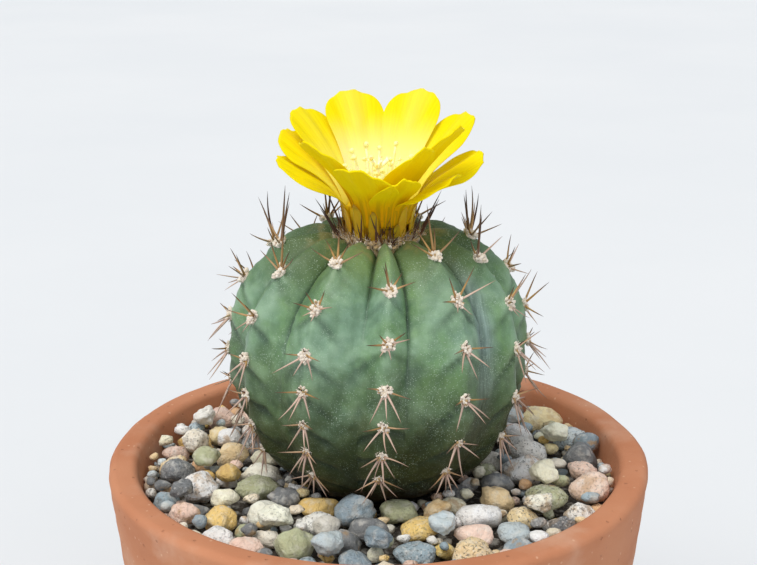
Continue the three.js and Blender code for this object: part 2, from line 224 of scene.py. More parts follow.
# %% [markdown]
# ## Finishing a piece
# Each piece rides on the root body, hides the CAD nodes that it stands for, and takes its finish.
# Doing all of that in one place keeps any piece from being missed.

# %% Make an object of a mesh
def finish_piece(name, mesh, material, slot, *stands_for):
    mesh.name = name
    mesh.polygons.foreach_set("use_smooth", [True] * len(mesh.polygons))
    mesh.materials.clear()
    mesh.materials.append(material)
    piece = bpy.data.objects.new(name, mesh)
    scene.collection.objects.link(piece)
    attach(piece, "root")
    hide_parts(*stands_for)
    print(name, "has", len(mesh.polygons), "faces")


# %% [markdown]
# ## Tools for materials
# A material is a small tree of nodes. `node` adds one and wires its inputs, so a tree reads as a
# list of steps, and `layer` lays one colour over another through a mask. Effects that several
# materials share are groups: `mottle` for soft patches, `specks` for small separate dots, and
# `grit` for the fine relief of stone, clay and skin.

# %% Node helpers
def node(tree, kind, inputs, output=0, **settings):
    """Adds a shader node, sets and wires it, and returns one of its outputs."""
    made = tree.nodes.new("ShaderNode" + kind)
    for key, value in settings.items():
        setattr(made, key, value)
    for key, value in inputs.items():
        if isinstance(value, bpy.types.NodeSocket):
            tree.links.new(value, made.inputs[key])
        else:
            made.inputs[key].default_value = value
    return made.outputs[output]


def mix(tree, mask, first, second, blend="MIX"):
    first, second = [c if isinstance(c, bpy.types.NodeSocket) else (*c, 1) for c in (first, second)]
    wires = {0: mask, 6: first, 7: second}
    return node(tree, "Mix", wires, 2, data_type="RGBA", blend_type=blend)


def maths(tree, operation, first, second=0.0):
    return node(tree, "Math", {0: first, 1: second}, operation=operation)


def times(tree, first, second):
    return maths(tree, "MULTIPLY", first, second)


def layer(tree, under, mask, strength, colour, blend="MIX"):
    """Lays a colour over another where the mask is bright, no thicker than the strength."""
    return mix(tree, times(tree, mask, strength), under, colour, blend)


def remap(tree, value, low, high, to_low=0.0, to_high=1.0):
    limits = {"From Min": low, "From Max": high, "To Min": to_low, "To Max": to_high}
    return node(tree, "MapRange", {"Value": value, **limits}, interpolation_type="SMOOTHSTEP")


def ramp(tree, value, *stops):
    """A colour ramp through (position, colour) stops."""
    output = node(tree, "ValToRGB", {"Fac": value})
    elements = output.node.color_ramp.elements
    for index, (position, colour) in enumerate(stops):
        element = elements[index] if index < 2 else elements.new(position)
        element.position = position
        element.color = (*colour, 1)
    return output


def marks_of(tree, name="marks"):
    """The numbers stored at the points, as three outputs."""
    colour = node(tree, "Attribute", {}, "Color", attribute_name=name)
    split = node(tree, "SeparateColor", {0: colour}).node
    return split.outputs[0], split.outputs[1], split.outputs[2]


def place_of(tree):
    return node(tree, "TexCoord", {}, "Object")


def noise(tree, vector, scale, detail=4.0, roughness=0.55):
    wires = {"Vector": vector, "Scale": scale, "Detail": detail, "Roughness": roughness}
    return node(tree, "TexNoise", wires)


def bump(tree, height, distance, strength=1.0):
    return node(tree, "Bump", {"Height": height, "Distance": distance, "Strength": strength})


def start_material(name, roughness, **sockets):
    """A material with its Principled shader. Sockets that stay plain numbers are set here."""
    material = bpy.data.materials.new(name)
    material.use_nodes = True
    shader = material.node_tree.nodes["Principled BSDF"]
    shader.inputs["Roughness"].default_value = roughness
    for key, value in sockets.items():
        shader.inputs[key.replace("_", " ")].default_value = value
    print("finish:", name)
    return material, material.node_tree, shader


def finish_material(tree, shader, **outputs):
    for key, value in outputs.items():
        tree.links.new(value, shader.inputs[key.replace("_", " ")])


# %% Shared groups
def start_group(name, inputs):
    group = bpy.data.node_groups.new(name, "ShaderNodeTree")
    group.interface.new_socket("Vector", in_out="INPUT", socket_type="NodeSocketVector")
    for socket, value in inputs.items():
        made = group.interface.new_socket(socket, in_out="INPUT", socket_type="NodeSocketFloat")
        made.default_value = value
    group.interface.new_socket("Mask", in_out="OUTPUT", socket_type="NodeSocketFloat")
    return group, group.nodes.new("NodeGroupInput").outputs


def finish_group(group, mask):
    group.links.new(mask, group.nodes.new("NodeGroupOutput").inputs["Mask"])
    return group


def mottle_group():
    """Soft patches. Spread is how wide the step between them is."""
    group, given = start_group("mottle", {"Scale": 60, "Level": 0.5, "Spread": 0.1})
    cloud = noise(group, given["Vector"], given["Scale"], 5)
    low = maths(group, "SUBTRACT", given["Level"], given["Spread"])
    high = maths(group, "ADD", given["Level"], given["Spread"])
    return finish_group(group, remap(group, cloud, low, high))


def specks_group():
    """Separate round dots. Share is how many of the cells hold one, and Size its radius."""
    group, given = start_group("specks", {"Scale": 900, "Share": 0.3, "Size": 0.25})
    wires = {"Vector": given["Vector"], "Scale": given["Scale"]}
    cells = node(group, "TexVoronoi", wires).node
    chance = node(group, "SeparateColor", {0: cells.outputs["Color"]})
    present = maths(group, "LESS_THAN", chance, given["Share"])
    smaller = times(group, given["Size"], 0.5)
    dot = remap(group, cells.outputs["Distance"], smaller, given["Size"], 1.0, 0.0)
    return finish_group(group, times(group, present, dot))


def grit_group():
    """Fine relief of two sizes, as a height from 0 to 1."""
    group, given = start_group("grit", {"Scale": 1500, "Coarse": 0.5})
    fine = noise(group, given["Vector"], given["Scale"], 3, 0.7)
    coarse_scale = times(group, given["Scale"], 0.22)
    coarse = noise(group, given["Vector"], coarse_scale, 3)
    wires = {0: given["Coarse"], 2: fine, 3: coarse}
    return finish_group(group, node(group, "Mix", wires, 0, data_type="FLOAT"))


GROUPS = {"mottle": mottle_group(), "specks": specks_group(), "grit": grit_group()}


def effect(tree, name, vector, **values):
    """Places a shared group in a material, with this material's own values."""
    made = tree.nodes.new("ShaderNodeGroup")
    made.node_tree = GROUPS[name]
    tree.links.new(vector, made.inputs["Vector"])
    for key, value in values.items():
        made.inputs[key].default_value = value
    return made.outputs["Mask"]


print("shared effects:", list(GROUPS))

# %% [markdown]
# ## The photographer's set
# A pale floor that runs out of view, a soft bluish sky, a main lamp above at the left, and a
# weaker one in front at the right. Lamps near the plant would leave a bright pool on the floor, so
# both are distant ones, and a wide spread keeps their shadows soft. The camera looks 17 degrees
# down from 35 cm, which is close, so the near gravel looks large. A plane is enough for the
# floor, because only its colour and shade are seen.

# %% Camera
CAMERA_DISTANCE = 10 * STEM_RADIUS
CAMERA_ELEVATION = math.radians(20)
CAMERA_PITCH = math.radians(17.05)
SENSOR_WIDTH_PX = 757
FOCAL_PX = 1460

camera_data = bpy.data.cameras.new("camera")
camera_data.sensor_width = 36
camera_data.lens = camera_data.sensor_width * FOCAL_PX / SENSOR_WIDTH_PX
camera_data.clip_start = 0.01
camera = bpy.data.objects.new("camera", camera_data)
camera.location = (
    0,
    -CAMERA_DISTANCE * math.cos(CAMERA_ELEVATION),
    STEM_CENTRE + CAMERA_DISTANCE * math.sin(CAMERA_ELEVATION),
)
camera.rotation_euler = (math.pi / 2 - CAMERA_PITCH, 0, 0)
scene.collection.objects.link(camera)
scene.camera = camera
scene.view_settings.view_transform = "Standard"
print("camera at", [round(c, 3) for c in camera.location])


# %% Floor, sky and lamps
def floor_material():
    material, tree, shader = start_material("pale_floor", 0.7)
    patches = effect(tree, "mottle", place_of(tree), Scale=2.5, Spread=0.4)
    finish_material(tree, shader, Base_Color=mix(tree, patches, (0.72, 0.74, 0.76), (0.78, 0.79, 0.8)))
    return material


def soft_lamp(name, place, spread, strength, colour):
    """A distant lamp that looks as wide as its spread, in degrees."""
    light = bpy.data.lights.new(name, "SUN")
    light.angle = math.radians(spread)
    light.energy = strength
    light.color = colour
    lamp = bpy.data.objects.new(name, light)
    lamp.location = place
    lamp.rotation_euler = (-Vector(place)).to_track_quat("-Z", "Y").to_euler()
    scene.collection.objects.link(lamp)


floor = bpy.data.objects.new("floor", template(bmesh.ops.create_grid, size=3.0))
floor.data.materials.append(floor_material())
scene.collection.objects.link(floor)
scene.world = bpy.data.worlds.new("sky")
scene.world.use_nodes = True
sky = scene.world.node_tree.nodes["Background"].inputs
sky["Color"].default_value = (0.86, 0.92, 1.0, 1)
sky["Strength"].default_value = 0.55
soft_lamp("key_lamp", (-0.35, -0.3, 0.85), 40, 2.2, (1.0, 0.97, 0.92))
soft_lamp("front_lamp", (0.4, -0.8, 0.45), 60, 0.5, (1.0, 0.98, 0.95))
print("set is ready")

# %% [markdown]
# ## The clay pot
# A plain flowerpot is thrown or pressed as a shape of revolution, so its cross-section is spun
# about the axis. Spinning a fine section gives true round walls. Small changes of radius then
# give the faint rings and dents of pressed clay.


# %% Unglazed clay
def clay_material():
    material, tree, shader = start_material("unglazed_clay", 0.85, Specular_IOR_Level=0.25)
    place = place_of(tree)
    patches = effect(tree, "mottle", place, Scale=35, Spread=0.25)
    fired = mix(tree, patches, (0.46, 0.17, 0.08), (0.56, 0.24, 0.125))
    rings = node(tree, "Mapping", {"Vector": place, "Scale": (1, 1, 4)})
    rings = effect(tree, "mottle", rings, Scale=45, Spread=0.35)
    fired = layer(tree, fired, rings, 0.5, (0.58, 0.27, 0.15))
    lime = effect(tree, "mottle", place, Scale=55, Level=0.63, Spread=0.12)
    fired = layer(tree, fired, lime, 0.4, (0.7, 0.5, 0.38))
    pits = effect(tree, "specks", place, Scale=560, Share=0.14, Size=0.26)
    fired = layer(tree, fired, pits, 0.4, (0.28, 0.11, 0.055))
    grains = effect(tree, "specks", place, Scale=700, Share=0.12, Size=0.28)
    fired = layer(tree, fired, grains, 0.4, (0.76, 0.52, 0.36))
    sand = effect(tree, "grit", place, Scale=1600, Coarse=0.5)
    relief = maths(tree, "SUBTRACT", sand, pits)
    finish_material(
        tree, shader,
        Base_Color=fired,
        Roughness=remap(tree, lime, 0, 1, 0.8, 0.95),
        Normal=bump(tree, relief, 0.25 * MM, 0.7),
    )
    return material


# %% The pot's section
BASE_RADIUS = 44 * MM
FLOOR_RADIUS = 38 * MM
FLOOR_THICKNESS = 7 * MM
DRAIN_RADIUS = 7 * MM
BAND_HEIGHT = 23 * MM
BAND_STEP = 3 * MM
LIP = 2 * MM
CORNER = 0.8 * MM
RING_DEPTH = 0.06 * MM
DENT_DEPTH = 0.22 * MM
CHIP_DEPTH = 0.5 * MM
CHIP_COUNT = 7


def arc(centre, radius, start, end, steps):
    """Points of an arc in the plane of radius and height, with angles in degrees."""
    angles = np.radians(np.linspace(start, end, steps))
    return [(centre[0] + radius * math.cos(a), centre[1] + radius * math.sin(a)) for a in angles]


def pot_section():
    """The outline from the drain hole's lower edge, up the outside, over the rim and down inside."""
    wall_top = RIM_RADIUS - 2 * BAND_STEP
    band_bottom = POT_TOP - BAND_HEIGHT
    return [
        *arc((DRAIN_RADIUS + CORNER, CORNER), CORNER, 180, 270, 4),
        *arc((BASE_RADIUS - LIP, LIP), LIP, -90, -11, 6),
        (wall_top, band_bottom - 0.6 * MM),
        (wall_top + BAND_STEP - CORNER, band_bottom),
        *arc((wall_top + BAND_STEP, band_bottom + CORNER), CORNER, -90, 0, 4),
        *arc((RIM_RADIUS - LIP, POT_TOP - LIP), LIP, 6, 90, 7),
        *arc((RIM_INNER_RADIUS + LIP, POT_TOP - LIP), LIP, 90, 178, 7),
        (FLOOR_RADIUS + 1.5 * MM, FLOOR_THICKNESS + 3 * MM),
        (FLOOR_RADIUS - 1.5 * MM, FLOOR_THICKNESS),
        *arc((DRAIN_RADIUS + CORNER, FLOOR_THICKNESS - CORNER), CORNER, 90, 180, 4),
    ]


print("corners of the pot's section:", len(pot_section()))


# %% Spin a section
def spun(section, steps, longest):
    """A closed section turned about the axis, cut first so that no edge of it is too long."""
    bm = bmesh.new()
    corners = [bm.verts.new((radius, 0, height)) for radius, height in section]
    for i, corner in enumerate(corners):
        bm.edges.new((corner, corners[(i + 1) % len(corners)]))
    for edge in list(bm.edges):
        cuts = int(edge.calc_length() / longest)
        if cuts:
            bmesh.ops.subdivide_edges(bm, edges=[edge], cuts=cuts)
    bmesh.ops.spin(
        bm, geom=bm.verts[:] + bm.edges[:], axis=(0, 0, 1), cent=(0, 0, 0),
        angle=2 * math.pi, steps=steps, use_merge=True,
    )
    bmesh.ops.remove_doubles(bm, verts=bm.verts, dist=0.001 * MM)
    bmesh.ops.recalc_face_normals(bm, faces=bm.faces)
    return to_mesh(bm, "spun")


def widened(points, grown):
    """The points with their distance from the axis multiplied, each by its own number."""
    return points * np.stack([grown, grown, np.ones_like(grown)], axis=1)


# %% The pot with its rings, dents and chips
def rim_chips(points):
    """How deep small chips cut into the rim's outer edge."""
    chips = np.zeros(len(points))
    rng = np.random.default_rng(8)
    for angle in rng.uniform(0, 2 * math.pi, CHIP_COUNT):
        spot = np.array([RIM_RADIUS * math.cos(angle), RIM_RADIUS * math.sin(angle), POT_TOP])
        away = np.linalg.norm(points - spot, axis=1) / rng.uniform(0.8 * MM, 1.8 * MM)
        chips += CHIP_DEPTH * np.exp(-(away**2))
    return chips


def clay_pot():
    mesh = spun(pot_section(), 180, 2.2 * MM)
    points = points_of(mesh)
    radius = np.hypot(points[:, 0], points[:, 1])
    height = points[:, 2]
    rings = RING_DEPTH * np.sin(height / (1.1 * MM) + 1.5 * np.sin(height / (7 * MM)))
    dents = DENT_DEPTH * ripple(points, 30 * MM, seed=3)
    outside = radius > DRAIN_RADIUS + 2 * MM
    grown = 1 + outside * (rings + dents - rim_chips(points)) / np.maximum(radius, 1 * MM)
    set_points(mesh, widened(points, grown))
    return mesh


finish_piece("clay_pot", clay_pot(), clay_material(), "clay", "pot")

# %% [markdown]
# ## The potting mix
# The soil fills the pot below the gravel and shows only through the drain hole. Its solid in the
# frame already has the right shape, so it stays, and gets a dark crumbly finish.

# %% Soil
def soil_material():
    material, tree, shader = start_material("potting_soil", 0.95, Specular_IOR_Level=0.2)
    place = place_of(tree)
    damp = effect(tree, "mottle", place, Scale=260, Spread=0.2)
    peat = mix(tree, damp, (0.03, 0.018, 0.01), (0.085, 0.05, 0.03))
    crumbs = effect(tree, "specks", place, Scale=380, Share=0.2, Size=0.35)
    relief = effect(tree, "grit", place, Scale=900, Coarse=0.6)
    finish_material(
        tree, shader,
        Base_Color=mix(tree, crumbs, peat, (0.35, 0.28, 0.2)),
        Normal=bump(tree, relief, 0.8 * MM),
    )
    return material


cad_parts["potting_mix"].material_slots[0].material = soil_material()

# %% [markdown]
# ## The cactus's skin
# The globe is one grown body. A ball with many columns is bent into it: each point keeps its
# place round the axis and down from the crown, and a formula says how far out the skin lies
# there. The columns are drawn towards the furrows, where the skin folds most sharply. The last
# rows of the ball become the taproot in the soil, so the body stays one closed mesh.

# %% The ribs' formula
FURROW_DEPTH = 5.6 * MM
CROWN_DIP = 6.5 * MM
CROWN_DIP_RADIUS = 9.5 * MM
FURROW_FADES = np.radians([76, 82, 72, 70, 72, 70, 74, 70, 72, 70, 74, 56])


def crest(polar):
    """A rib crest's radius and height above the globe's centre, by the angle from the top."""
    cosine = np.cos(polar)
    taper = 1 - LOWER_TAPER * np.clip(-cosine, 0, 1) ** 0.95
    radius = STEM_RADIUS * np.clip(np.sin(polar), 0, 1) ** 0.876 * taper
    dip = np.where(polar < np.pi / 2, CROWN_DIP * np.exp(-((radius / CROWN_DIP_RADIUS) ** 2)), 0)
    return radius, STEM_HALF_HEIGHT * np.sign(cosine) * np.abs(cosine) ** 0.7 - dip


def crest_normal(polar):
    """The crest's outward direction, as its radius and height parts."""
    before, after = crest(polar - 0.01), crest(polar + 0.01)
    radius, height = after[0] - before[0], after[1] - before[1]
    length = np.hypot(radius, height)
    return -height / length, radius / length


def furrow_depth(polar):
    sine = np.clip(np.sin(polar), 0, 1)
    return FURROW_DEPTH * sine**0.5 * (0.48 + 0.52 * np.cos(polar))


def furrow_share(rib):
    """Where the furrow after a rib lies, as a share of the way to the next crest."""
    return np.where(rib == 0, 0.3, np.where(rib == RIB_COUNT - 1, 0.66, 0.5))


def crest_azimuth(rib, polar):
    return FIRST_RIB + rib * RIB_ANGLE + RIB_TWIST * (polar - math.pi / 2)


def around(radius, height, azimuth):
    """Points in the frame. An azimuth of 0 faces the front, and the height is above the globe's centre."""
    place = (radius * np.sin(azimuth), -radius * np.cos(azimuth), STEM_CENTRE + height)
    return np.stack(np.broadcast_arrays(*place), axis=-1)


print("widest radius in mm:", round(crest(math.pi / 2)[0] / MM, 1))

# %% [markdown]
# ## Where the cushions sit
# A cactus's spines grow from woolly cushions, spaced along each rib's crest. The heights of the
# first ones alternate from rib to rib, and the gaps shrink towards the base, where the oldest
# cushions were squeezed together.

# %% Cushions down each crest
TOP_CUSHIONS = [24.9, 29.5, 27.3, 29.2, 25.4, 29, 26.2, 29.4, 25, 28.6, 25.7, 28.8]
CLOSE_SPACING = [11.6, 10, 8.4, 7.7, 7.5, 7.8, 7.8]
WIDE_SPACING = [12, 10.4, 11.4, 10.6, 8.8, 8.8]
WIDE_RIBS = (1, 2, 5, 8)
LOWEST_CUSHION = GRAVEL_TOP + 5.5 * MM - STEM_CENTRE

crest_angles = np.linspace(math.radians(1), math.radians(179), 4000)
crest_line = np.stack(crest(crest_angles), axis=1)
crest_steps = np.linalg.norm(np.diff(crest_line, axis=0), axis=1)
crest_walk = np.concatenate([[0], np.cumsum(crest_steps)])


def walked(polar):
    """The distance along a crest from the crown to an angle."""
    return np.interp(polar, crest_angles, crest_walk)


def cushion_angles(rib):
    """The angles from the top of one rib's cushions."""
    below_top = (crest_line[:, 1] <= TOP_CUSHIONS[rib] * MM) & (crest_angles > math.radians(30))
    start = crest_walk[np.argmax(below_top)]
    spacing = WIDE_SPACING if rib in WIDE_RIBS else CLOSE_SPACING
    stops = start + np.concatenate([[0], np.cumsum(spacing[:-1])]) * MM
    angles = np.interp(stops, crest_walk, crest_angles)
    return angles[crest(angles)[1] >= LOWEST_CUSHION]


CUSHIONS = [cushion_angles(rib) for rib in range(RIB_COUNT)]
print("cushions on each rib:", [len(angles) for angles in CUSHIONS])

# %% [markdown]
# ## Relief of the skin
# Real ribs aren't smooth. The skin swells under each cushion. Below it two creases run down and
# outwards, with a chin of skin above them. The furrow itself is a thin sharp fold near the crown,
# and a fine ridge runs down each crest. A sculptor would cut all of these by hand, but they repeat
# with the cushions, so sums of bell curves place them. The same numbers that move the skin are
# kept at the points, so that its material can paint shade into the folds and hollows, paint a
# highlight on the swellings, and grey the flanks. A last one marks the upper ends of the ribs at
# the sides and back, where shade is painted in.

# %% Places on the globe
COLUMNS_PER_RIB = 26
SKIN_ROWS = 184
GLOBE_SHARE = 0.925
ROOT_TOP_ANGLE = math.radians(171)
ROOT_TIP = 48 * MM - STEM_CENTRE
ROOT_TIP_RADIUS = 1 * MM


def globe_place(sphere):
    """Turns a ball's points into an angle from the top, a crest, and a way across from it."""
    azimuth = np.arctan2(sphere[:, 0], -sphere[:, 1]) % (2 * math.pi)
    column = np.rint(azimuth / (2 * math.pi) * RIB_COUNT * COLUMNS_PER_RIB)
    column = column.astype(int) % (RIB_COUNT * COLUMNS_PER_RIB)
    down = np.arccos(np.clip(sphere[:, 2], -1, 1)) / math.pi
    polar = np.clip(down / GLOBE_SHARE, 0.001, 1) * ROOT_TOP_ANGLE
    root = np.clip((down - GLOBE_SHARE) / (1 - GLOBE_SHARE), 0, 1)
    rib, step = np.divmod(column, COLUMNS_PER_RIB)
    half = COLUMNS_PER_RIB / 2
    after = step > half
    from_crest = np.where(after, COLUMNS_PER_RIB - step, step) / half
    towards = 1 - (1 - from_crest) ** 1.5
    share = furrow_share(rib)
    across = np.where(after, 1 - (1 - share) * towards, share * towards)
    return polar, root, rib, after, towards, across


def sharpness(polar, rib):
    """1 where the furrow after a rib is a sharp fold, and 0 below the height where it fades."""
    return 1 / (1 + np.exp((polar - FURROW_FADES[rib]) / 0.13))


print("columns and rows of the skin:", RIB_COUNT * COLUMNS_PER_RIB, SKIN_ROWS)

# %% Relief round the cushions
# In millimetres: how far below a cushion its creases start, how far to the side they run, how far
# above them the chin lies, and the widths of the chin and of the swelling under the cushion.
CREASE_START = 1.3
CREASE_REACH = 6.5
CHIN_RISE = 2.0
CHIN_WIDTH = 1.7
SWELLING_WIDTH = 2.4
# How far each stands out of the skin, or into it, in millimetres.
CHIN_OUT = 0.4
CREASE_IN = 0.6
SWELLING_OUT = 0.3
RIDGE_OUT = 0.42
FURROW_FOLD_IN = 0.5
# How deep the creases are below the first cushion of a rib, the second, the third and the rest.
CREASE_BY_AGE = (0.3, 0.55, 0.8, 1.0)


def cushion_relief(side, below, strength, tilt):
    """The skin round one cushion, in millimetres: how far it stands out, and its two creases."""
    line = below - CREASE_START - (0.75 + tilt * np.sign(side)) * np.abs(side)
    reach = np.exp(-((side / CREASE_REACH) ** 4)) * np.clip(np.abs(side) / 1.2 + 0.35, 0, 1)
    crease = strength * reach * np.exp(-((line / (0.7 + 0.1 * np.abs(side))) ** 2))
    chin = strength * reach * np.exp(-(((line + CHIN_RISE) / CHIN_WIDTH) ** 2))
    swelling = np.exp(-((side**2 + below**2) / SWELLING_WIDTH**2))
    return CHIN_OUT * chin - CREASE_IN * crease + SWELLING_OUT * swelling, crease


def skin_relief(polar, rib, after, across, furrow_gap):
    """How far the skin stands out from its plain rib, and how folded it is."""
    own_rib = (rib + after) % RIB_COUNT
    sideways = (across - after) * RIB_ANGLE * crest(polar)[0]
    down = walked(polar)
    out = np.zeros_like(polar)
    fold = np.zeros_like(polar)
    rng = np.random.default_rng(5)
    for index in range(RIB_COUNT):
        on_rib = own_rib == index
        side = sideways[on_rib] / MM
        for order, angle in enumerate(CUSHIONS[index]):
            strength = CREASE_BY_AGE[min(order, 3)] * rng.uniform(0.8, 1.2)
            below = (down[on_rib] - walked(angle)) / MM
            rise, crease = cushion_relief(side, below, strength, rng.uniform(-0.15, 0.15))
            out[on_rib] += rise * MM
            fold[on_rib] = np.maximum(fold[on_rib], crease)
    out += RIDGE_OUT * MM * np.exp(-((sideways / (1.3 * MM)) ** 2)) * np.clip(2.2 - polar, 0, 1)
    sharp = np.exp(-((furrow_gap / (0.45 * MM)) ** 2)) * sharpness(polar, rib)
    out -= FURROW_FOLD_IN * MM * sharp
    return out, np.clip(fold + 0.8 * sharp, 0, 1)


# %% Bend the ball into the plant
def taproot(plain, root, azimuth):
    """The globe's lowest rows drawn down into a root. Root runs from 0 at its top to 1 at its tip."""
    join_radius, join_height = crest(ROOT_TOP_ANGLE)
    slope = (join_radius - ROOT_TIP_RADIUS) * (1 - root) ** 0.55
    radius = (slope + ROOT_TIP_RADIUS * (1 - root**8)) * (1 + 0.04 * ripple(plain, 9 * MM, seed=6))
    return around(radius, join_height + (ROOT_TIP - join_height) * root, azimuth)


def rib_top_shade(polar, azimuth):
    """Painted shade on the rib tops: 1 at the crown, away from the front, and 0 on the front ribs and the
    sides.
    """
    from_front = np.abs((azimuth + math.pi) % (2 * math.pi) - math.pi)
    return np.clip((from_front - 0.2) / 0.6, 0, 1) * np.clip((1.15 - polar) / 0.55, 0, 1)


def grey_bands():
    """How grey the flank after each rib is. The one at the front right is the greyest."""
    bands = np.random.default_rng(4).uniform(0.1, 0.62, RIB_COUNT)
    bands[1] = 1
    return bands


def cactus_body():
    columns = RIB_COUNT * COLUMNS_PER_RIB
    ball = template(bmesh.ops.create_uvsphere, u_segments=columns, v_segments=SKIN_ROWS, radius=1)
    polar, root, rib, after, towards, across = globe_place(points_of(ball))
    radius, height = crest(polar)
    azimuth = crest_azimuth(rib, polar) + across * RIB_ANGLE
    plain = around(radius, height, azimuth)
    side_width = np.where(after, 1 - furrow_share(rib), furrow_share(rib)) * RIB_ANGLE * radius
    relief, fold = skin_relief(polar, rib, after, across, (1 - towards) * side_width)
    lumps = 0.5 * ripple(plain, 10 * MM, seed=21) + 0.13 * ripple(plain, 3 * MM, seed=22)
    swell = relief + lumps * MM * np.sin(polar)
    creased = sharpness(polar, rib)
    roof = 0.4 * towards + 0.6 * towards**2.6
    valley = creased * roof + (1 - creased) * (0.5 - 0.5 * np.cos(math.pi * towards))
    out = swell - furrow_depth(polar) * valley
    normal = crest_normal(polar)
    skin = around(np.maximum(radius + normal[0] * out, 0), height + normal[1] * out, azimuth)
    set_points(ball, np.where((root > 0)[:, None], taproot(plain, root, azimuth), skin))
    # How far the skin stands out, which the material uses for painted highlight and painted shade.
    raised = np.clip(0.5 + swell / (1.6 * MM), 0, 1)
    greyness = towards * grey_bands()[rib]
    # The fourth number says where shade is painted on the rib tops at the sides and back.
    set_marks(ball, "marks", fold, raised, greyness, rib_top_shade(polar, azimuth))
    streak_across = across * RIB_ANGLE * radius / MM / 40
    set_marks(ball, "skin_place", streak_across, walked(polar) / MM / 120, polar / math.pi)
    return ball


body_mesh = cactus_body()
print("points in the skin:", len(body_mesh.vertices))

# %% [markdown]
# ## The skin's finish
# The skin is blue-green under a thin wax. It is grey-blue and finely streaked in the flanks,
# yellow-green round the crown, and corky brown at the base. A painted highlight lies where it
# swells, and painted shade lies in its hollows and folds, on the rib tops at the sides and back,
# and down the lower half, which is also olive-brown with age. White specks cover it. A painted
# picture could hold all this, but masks that follow the shape stay sharp at any distance. They
# are laid over one base colour in turn.


# %% Greens of the living skin
def living_skin(tree, place, swell, streaks, flank):
    """Greens of the globe: painted highlight on swells, painted shade in hollows, grey where flanks fall in.
    """
    blue, green = (0.18, 0.305, 0.205), (0.16, 0.295, 0.12)
    skin = mix(tree, effect(tree, "mottle", place, Scale=75, Spread=0.14), blue, green)
    pale = effect(tree, "mottle", place, Scale=120, Level=0.56, Spread=0.16)
    skin = layer(tree, skin, pale, 0.5, (0.32, 0.47, 0.34))
    brushed_place = node(tree, "Mapping", {"Vector": place, "Scale": (1, 1, 0.45)})
    brushed = effect(tree, "mottle", brushed_place, Scale=420, Level=0.52, Spread=0.16)
    skin = layer(tree, skin, brushed, 0.5, (0.08, 0.16, 0.085))
    # Painted highlight where the skin swells, and painted shade where it sinks into hollows.
    skin = mix(tree, remap(tree, swell, 0.5, 0.9, 0.0, 0.6), skin, (0.31, 0.47, 0.31))
    skin = mix(tree, remap(tree, swell, 0.08, 0.48, 0.65, 0.0), skin, (0.07, 0.13, 0.085))
    grey = mix(tree, streaks, (0.14, 0.2, 0.2), (0.3, 0.4, 0.39))
    return layer(tree, skin, flank, 0.75, grey)


def crown_tints(tree, place, skin, polar):
    """Yellow-green young skin at the crown, painted shade on rib tops off the front, tan patches by the
    wool.
    """
    crown = remap(tree, polar, 0.17, 0.3, 1.0, 0.0)
    skin = layer(tree, skin, crown, 0.65, (0.15, 0.235, 0.06))
    # Painted shade on the rib tops at the sides and back.
    shade = node(tree, "Attribute", {}, "Alpha", attribute_name="marks")
    skin = layer(tree, skin, shade, 0.68, (0.03, 0.065, 0.02))
    tan_patches = effect(tree, "mottle", place, Scale=260, Level=0.55)
    tan = times(tree, remap(tree, polar, 0.12, 0.17, 0.6, 0.0), tan_patches)
    return mix(tree, tan, skin, (0.3, 0.27, 0.11))


def shaded_lower_half(tree, place, skin, polar):
    """Painted shade down the lower half, with the olive-brown of older skin, a ragged edge, and cork at the
    base.
    """
    ragged = maths(tree, "ADD", polar, times(tree, noise(tree, place, 110), 0.14))
    # Partly painted shade for the underside, partly the darker olive-brown of older skin.
    lower_shade = ramp(
        tree, ragged, (0.505, (1, 1, 1)), (0.55, (0.7, 0.7, 0.6)), (0.58, (0.48, 0.48, 0.38)),
        (0.605, (0.32, 0.3, 0.19)), (0.64, (0.19, 0.18, 0.08)), (0.7, (0.16, 0.13, 0.045)),
        (0.8, (0.08, 0.05, 0.015)),
    )
    skin = mix(tree, 1.0, skin, lower_shade, "MULTIPLY")
    corky = effect(tree, "mottle", place, Scale=240, Spread=0.2)
    cork = mix(tree, corky, (0.018, 0.012, 0.003), (0.075, 0.043, 0.006))
    return mix(tree, remap(tree, ragged, 0.76, 0.85), skin, cork)


# %% Dust and waxy skin
def waxy_dust(tree, place, skin):
    """Fine dust in drifts, small white dots, and a few larger ones."""
    drifts = effect(tree, "mottle", place, Scale=100, Level=0.53)
    dust = effect(tree, "specks", place, Scale=2900, Share=0.5, Size=0.42)
    dust = times(tree, dust, remap(tree, drifts, 0, 1, 0.16, 0.46))
    skin = mix(tree, dust, skin, (0.45, 0.58, 0.46))
    dots = effect(tree, "specks", place, Scale=1300, Share=0.09, Size=0.2)
    skin = layer(tree, skin, dots, drifts, (0.55, 0.66, 0.55))
    spots = effect(tree, "specks", place, Scale=420, Share=0.05, Size=0.11)
    return layer(tree, skin, spots, 0.4, (0.7, 0.75, 0.65))


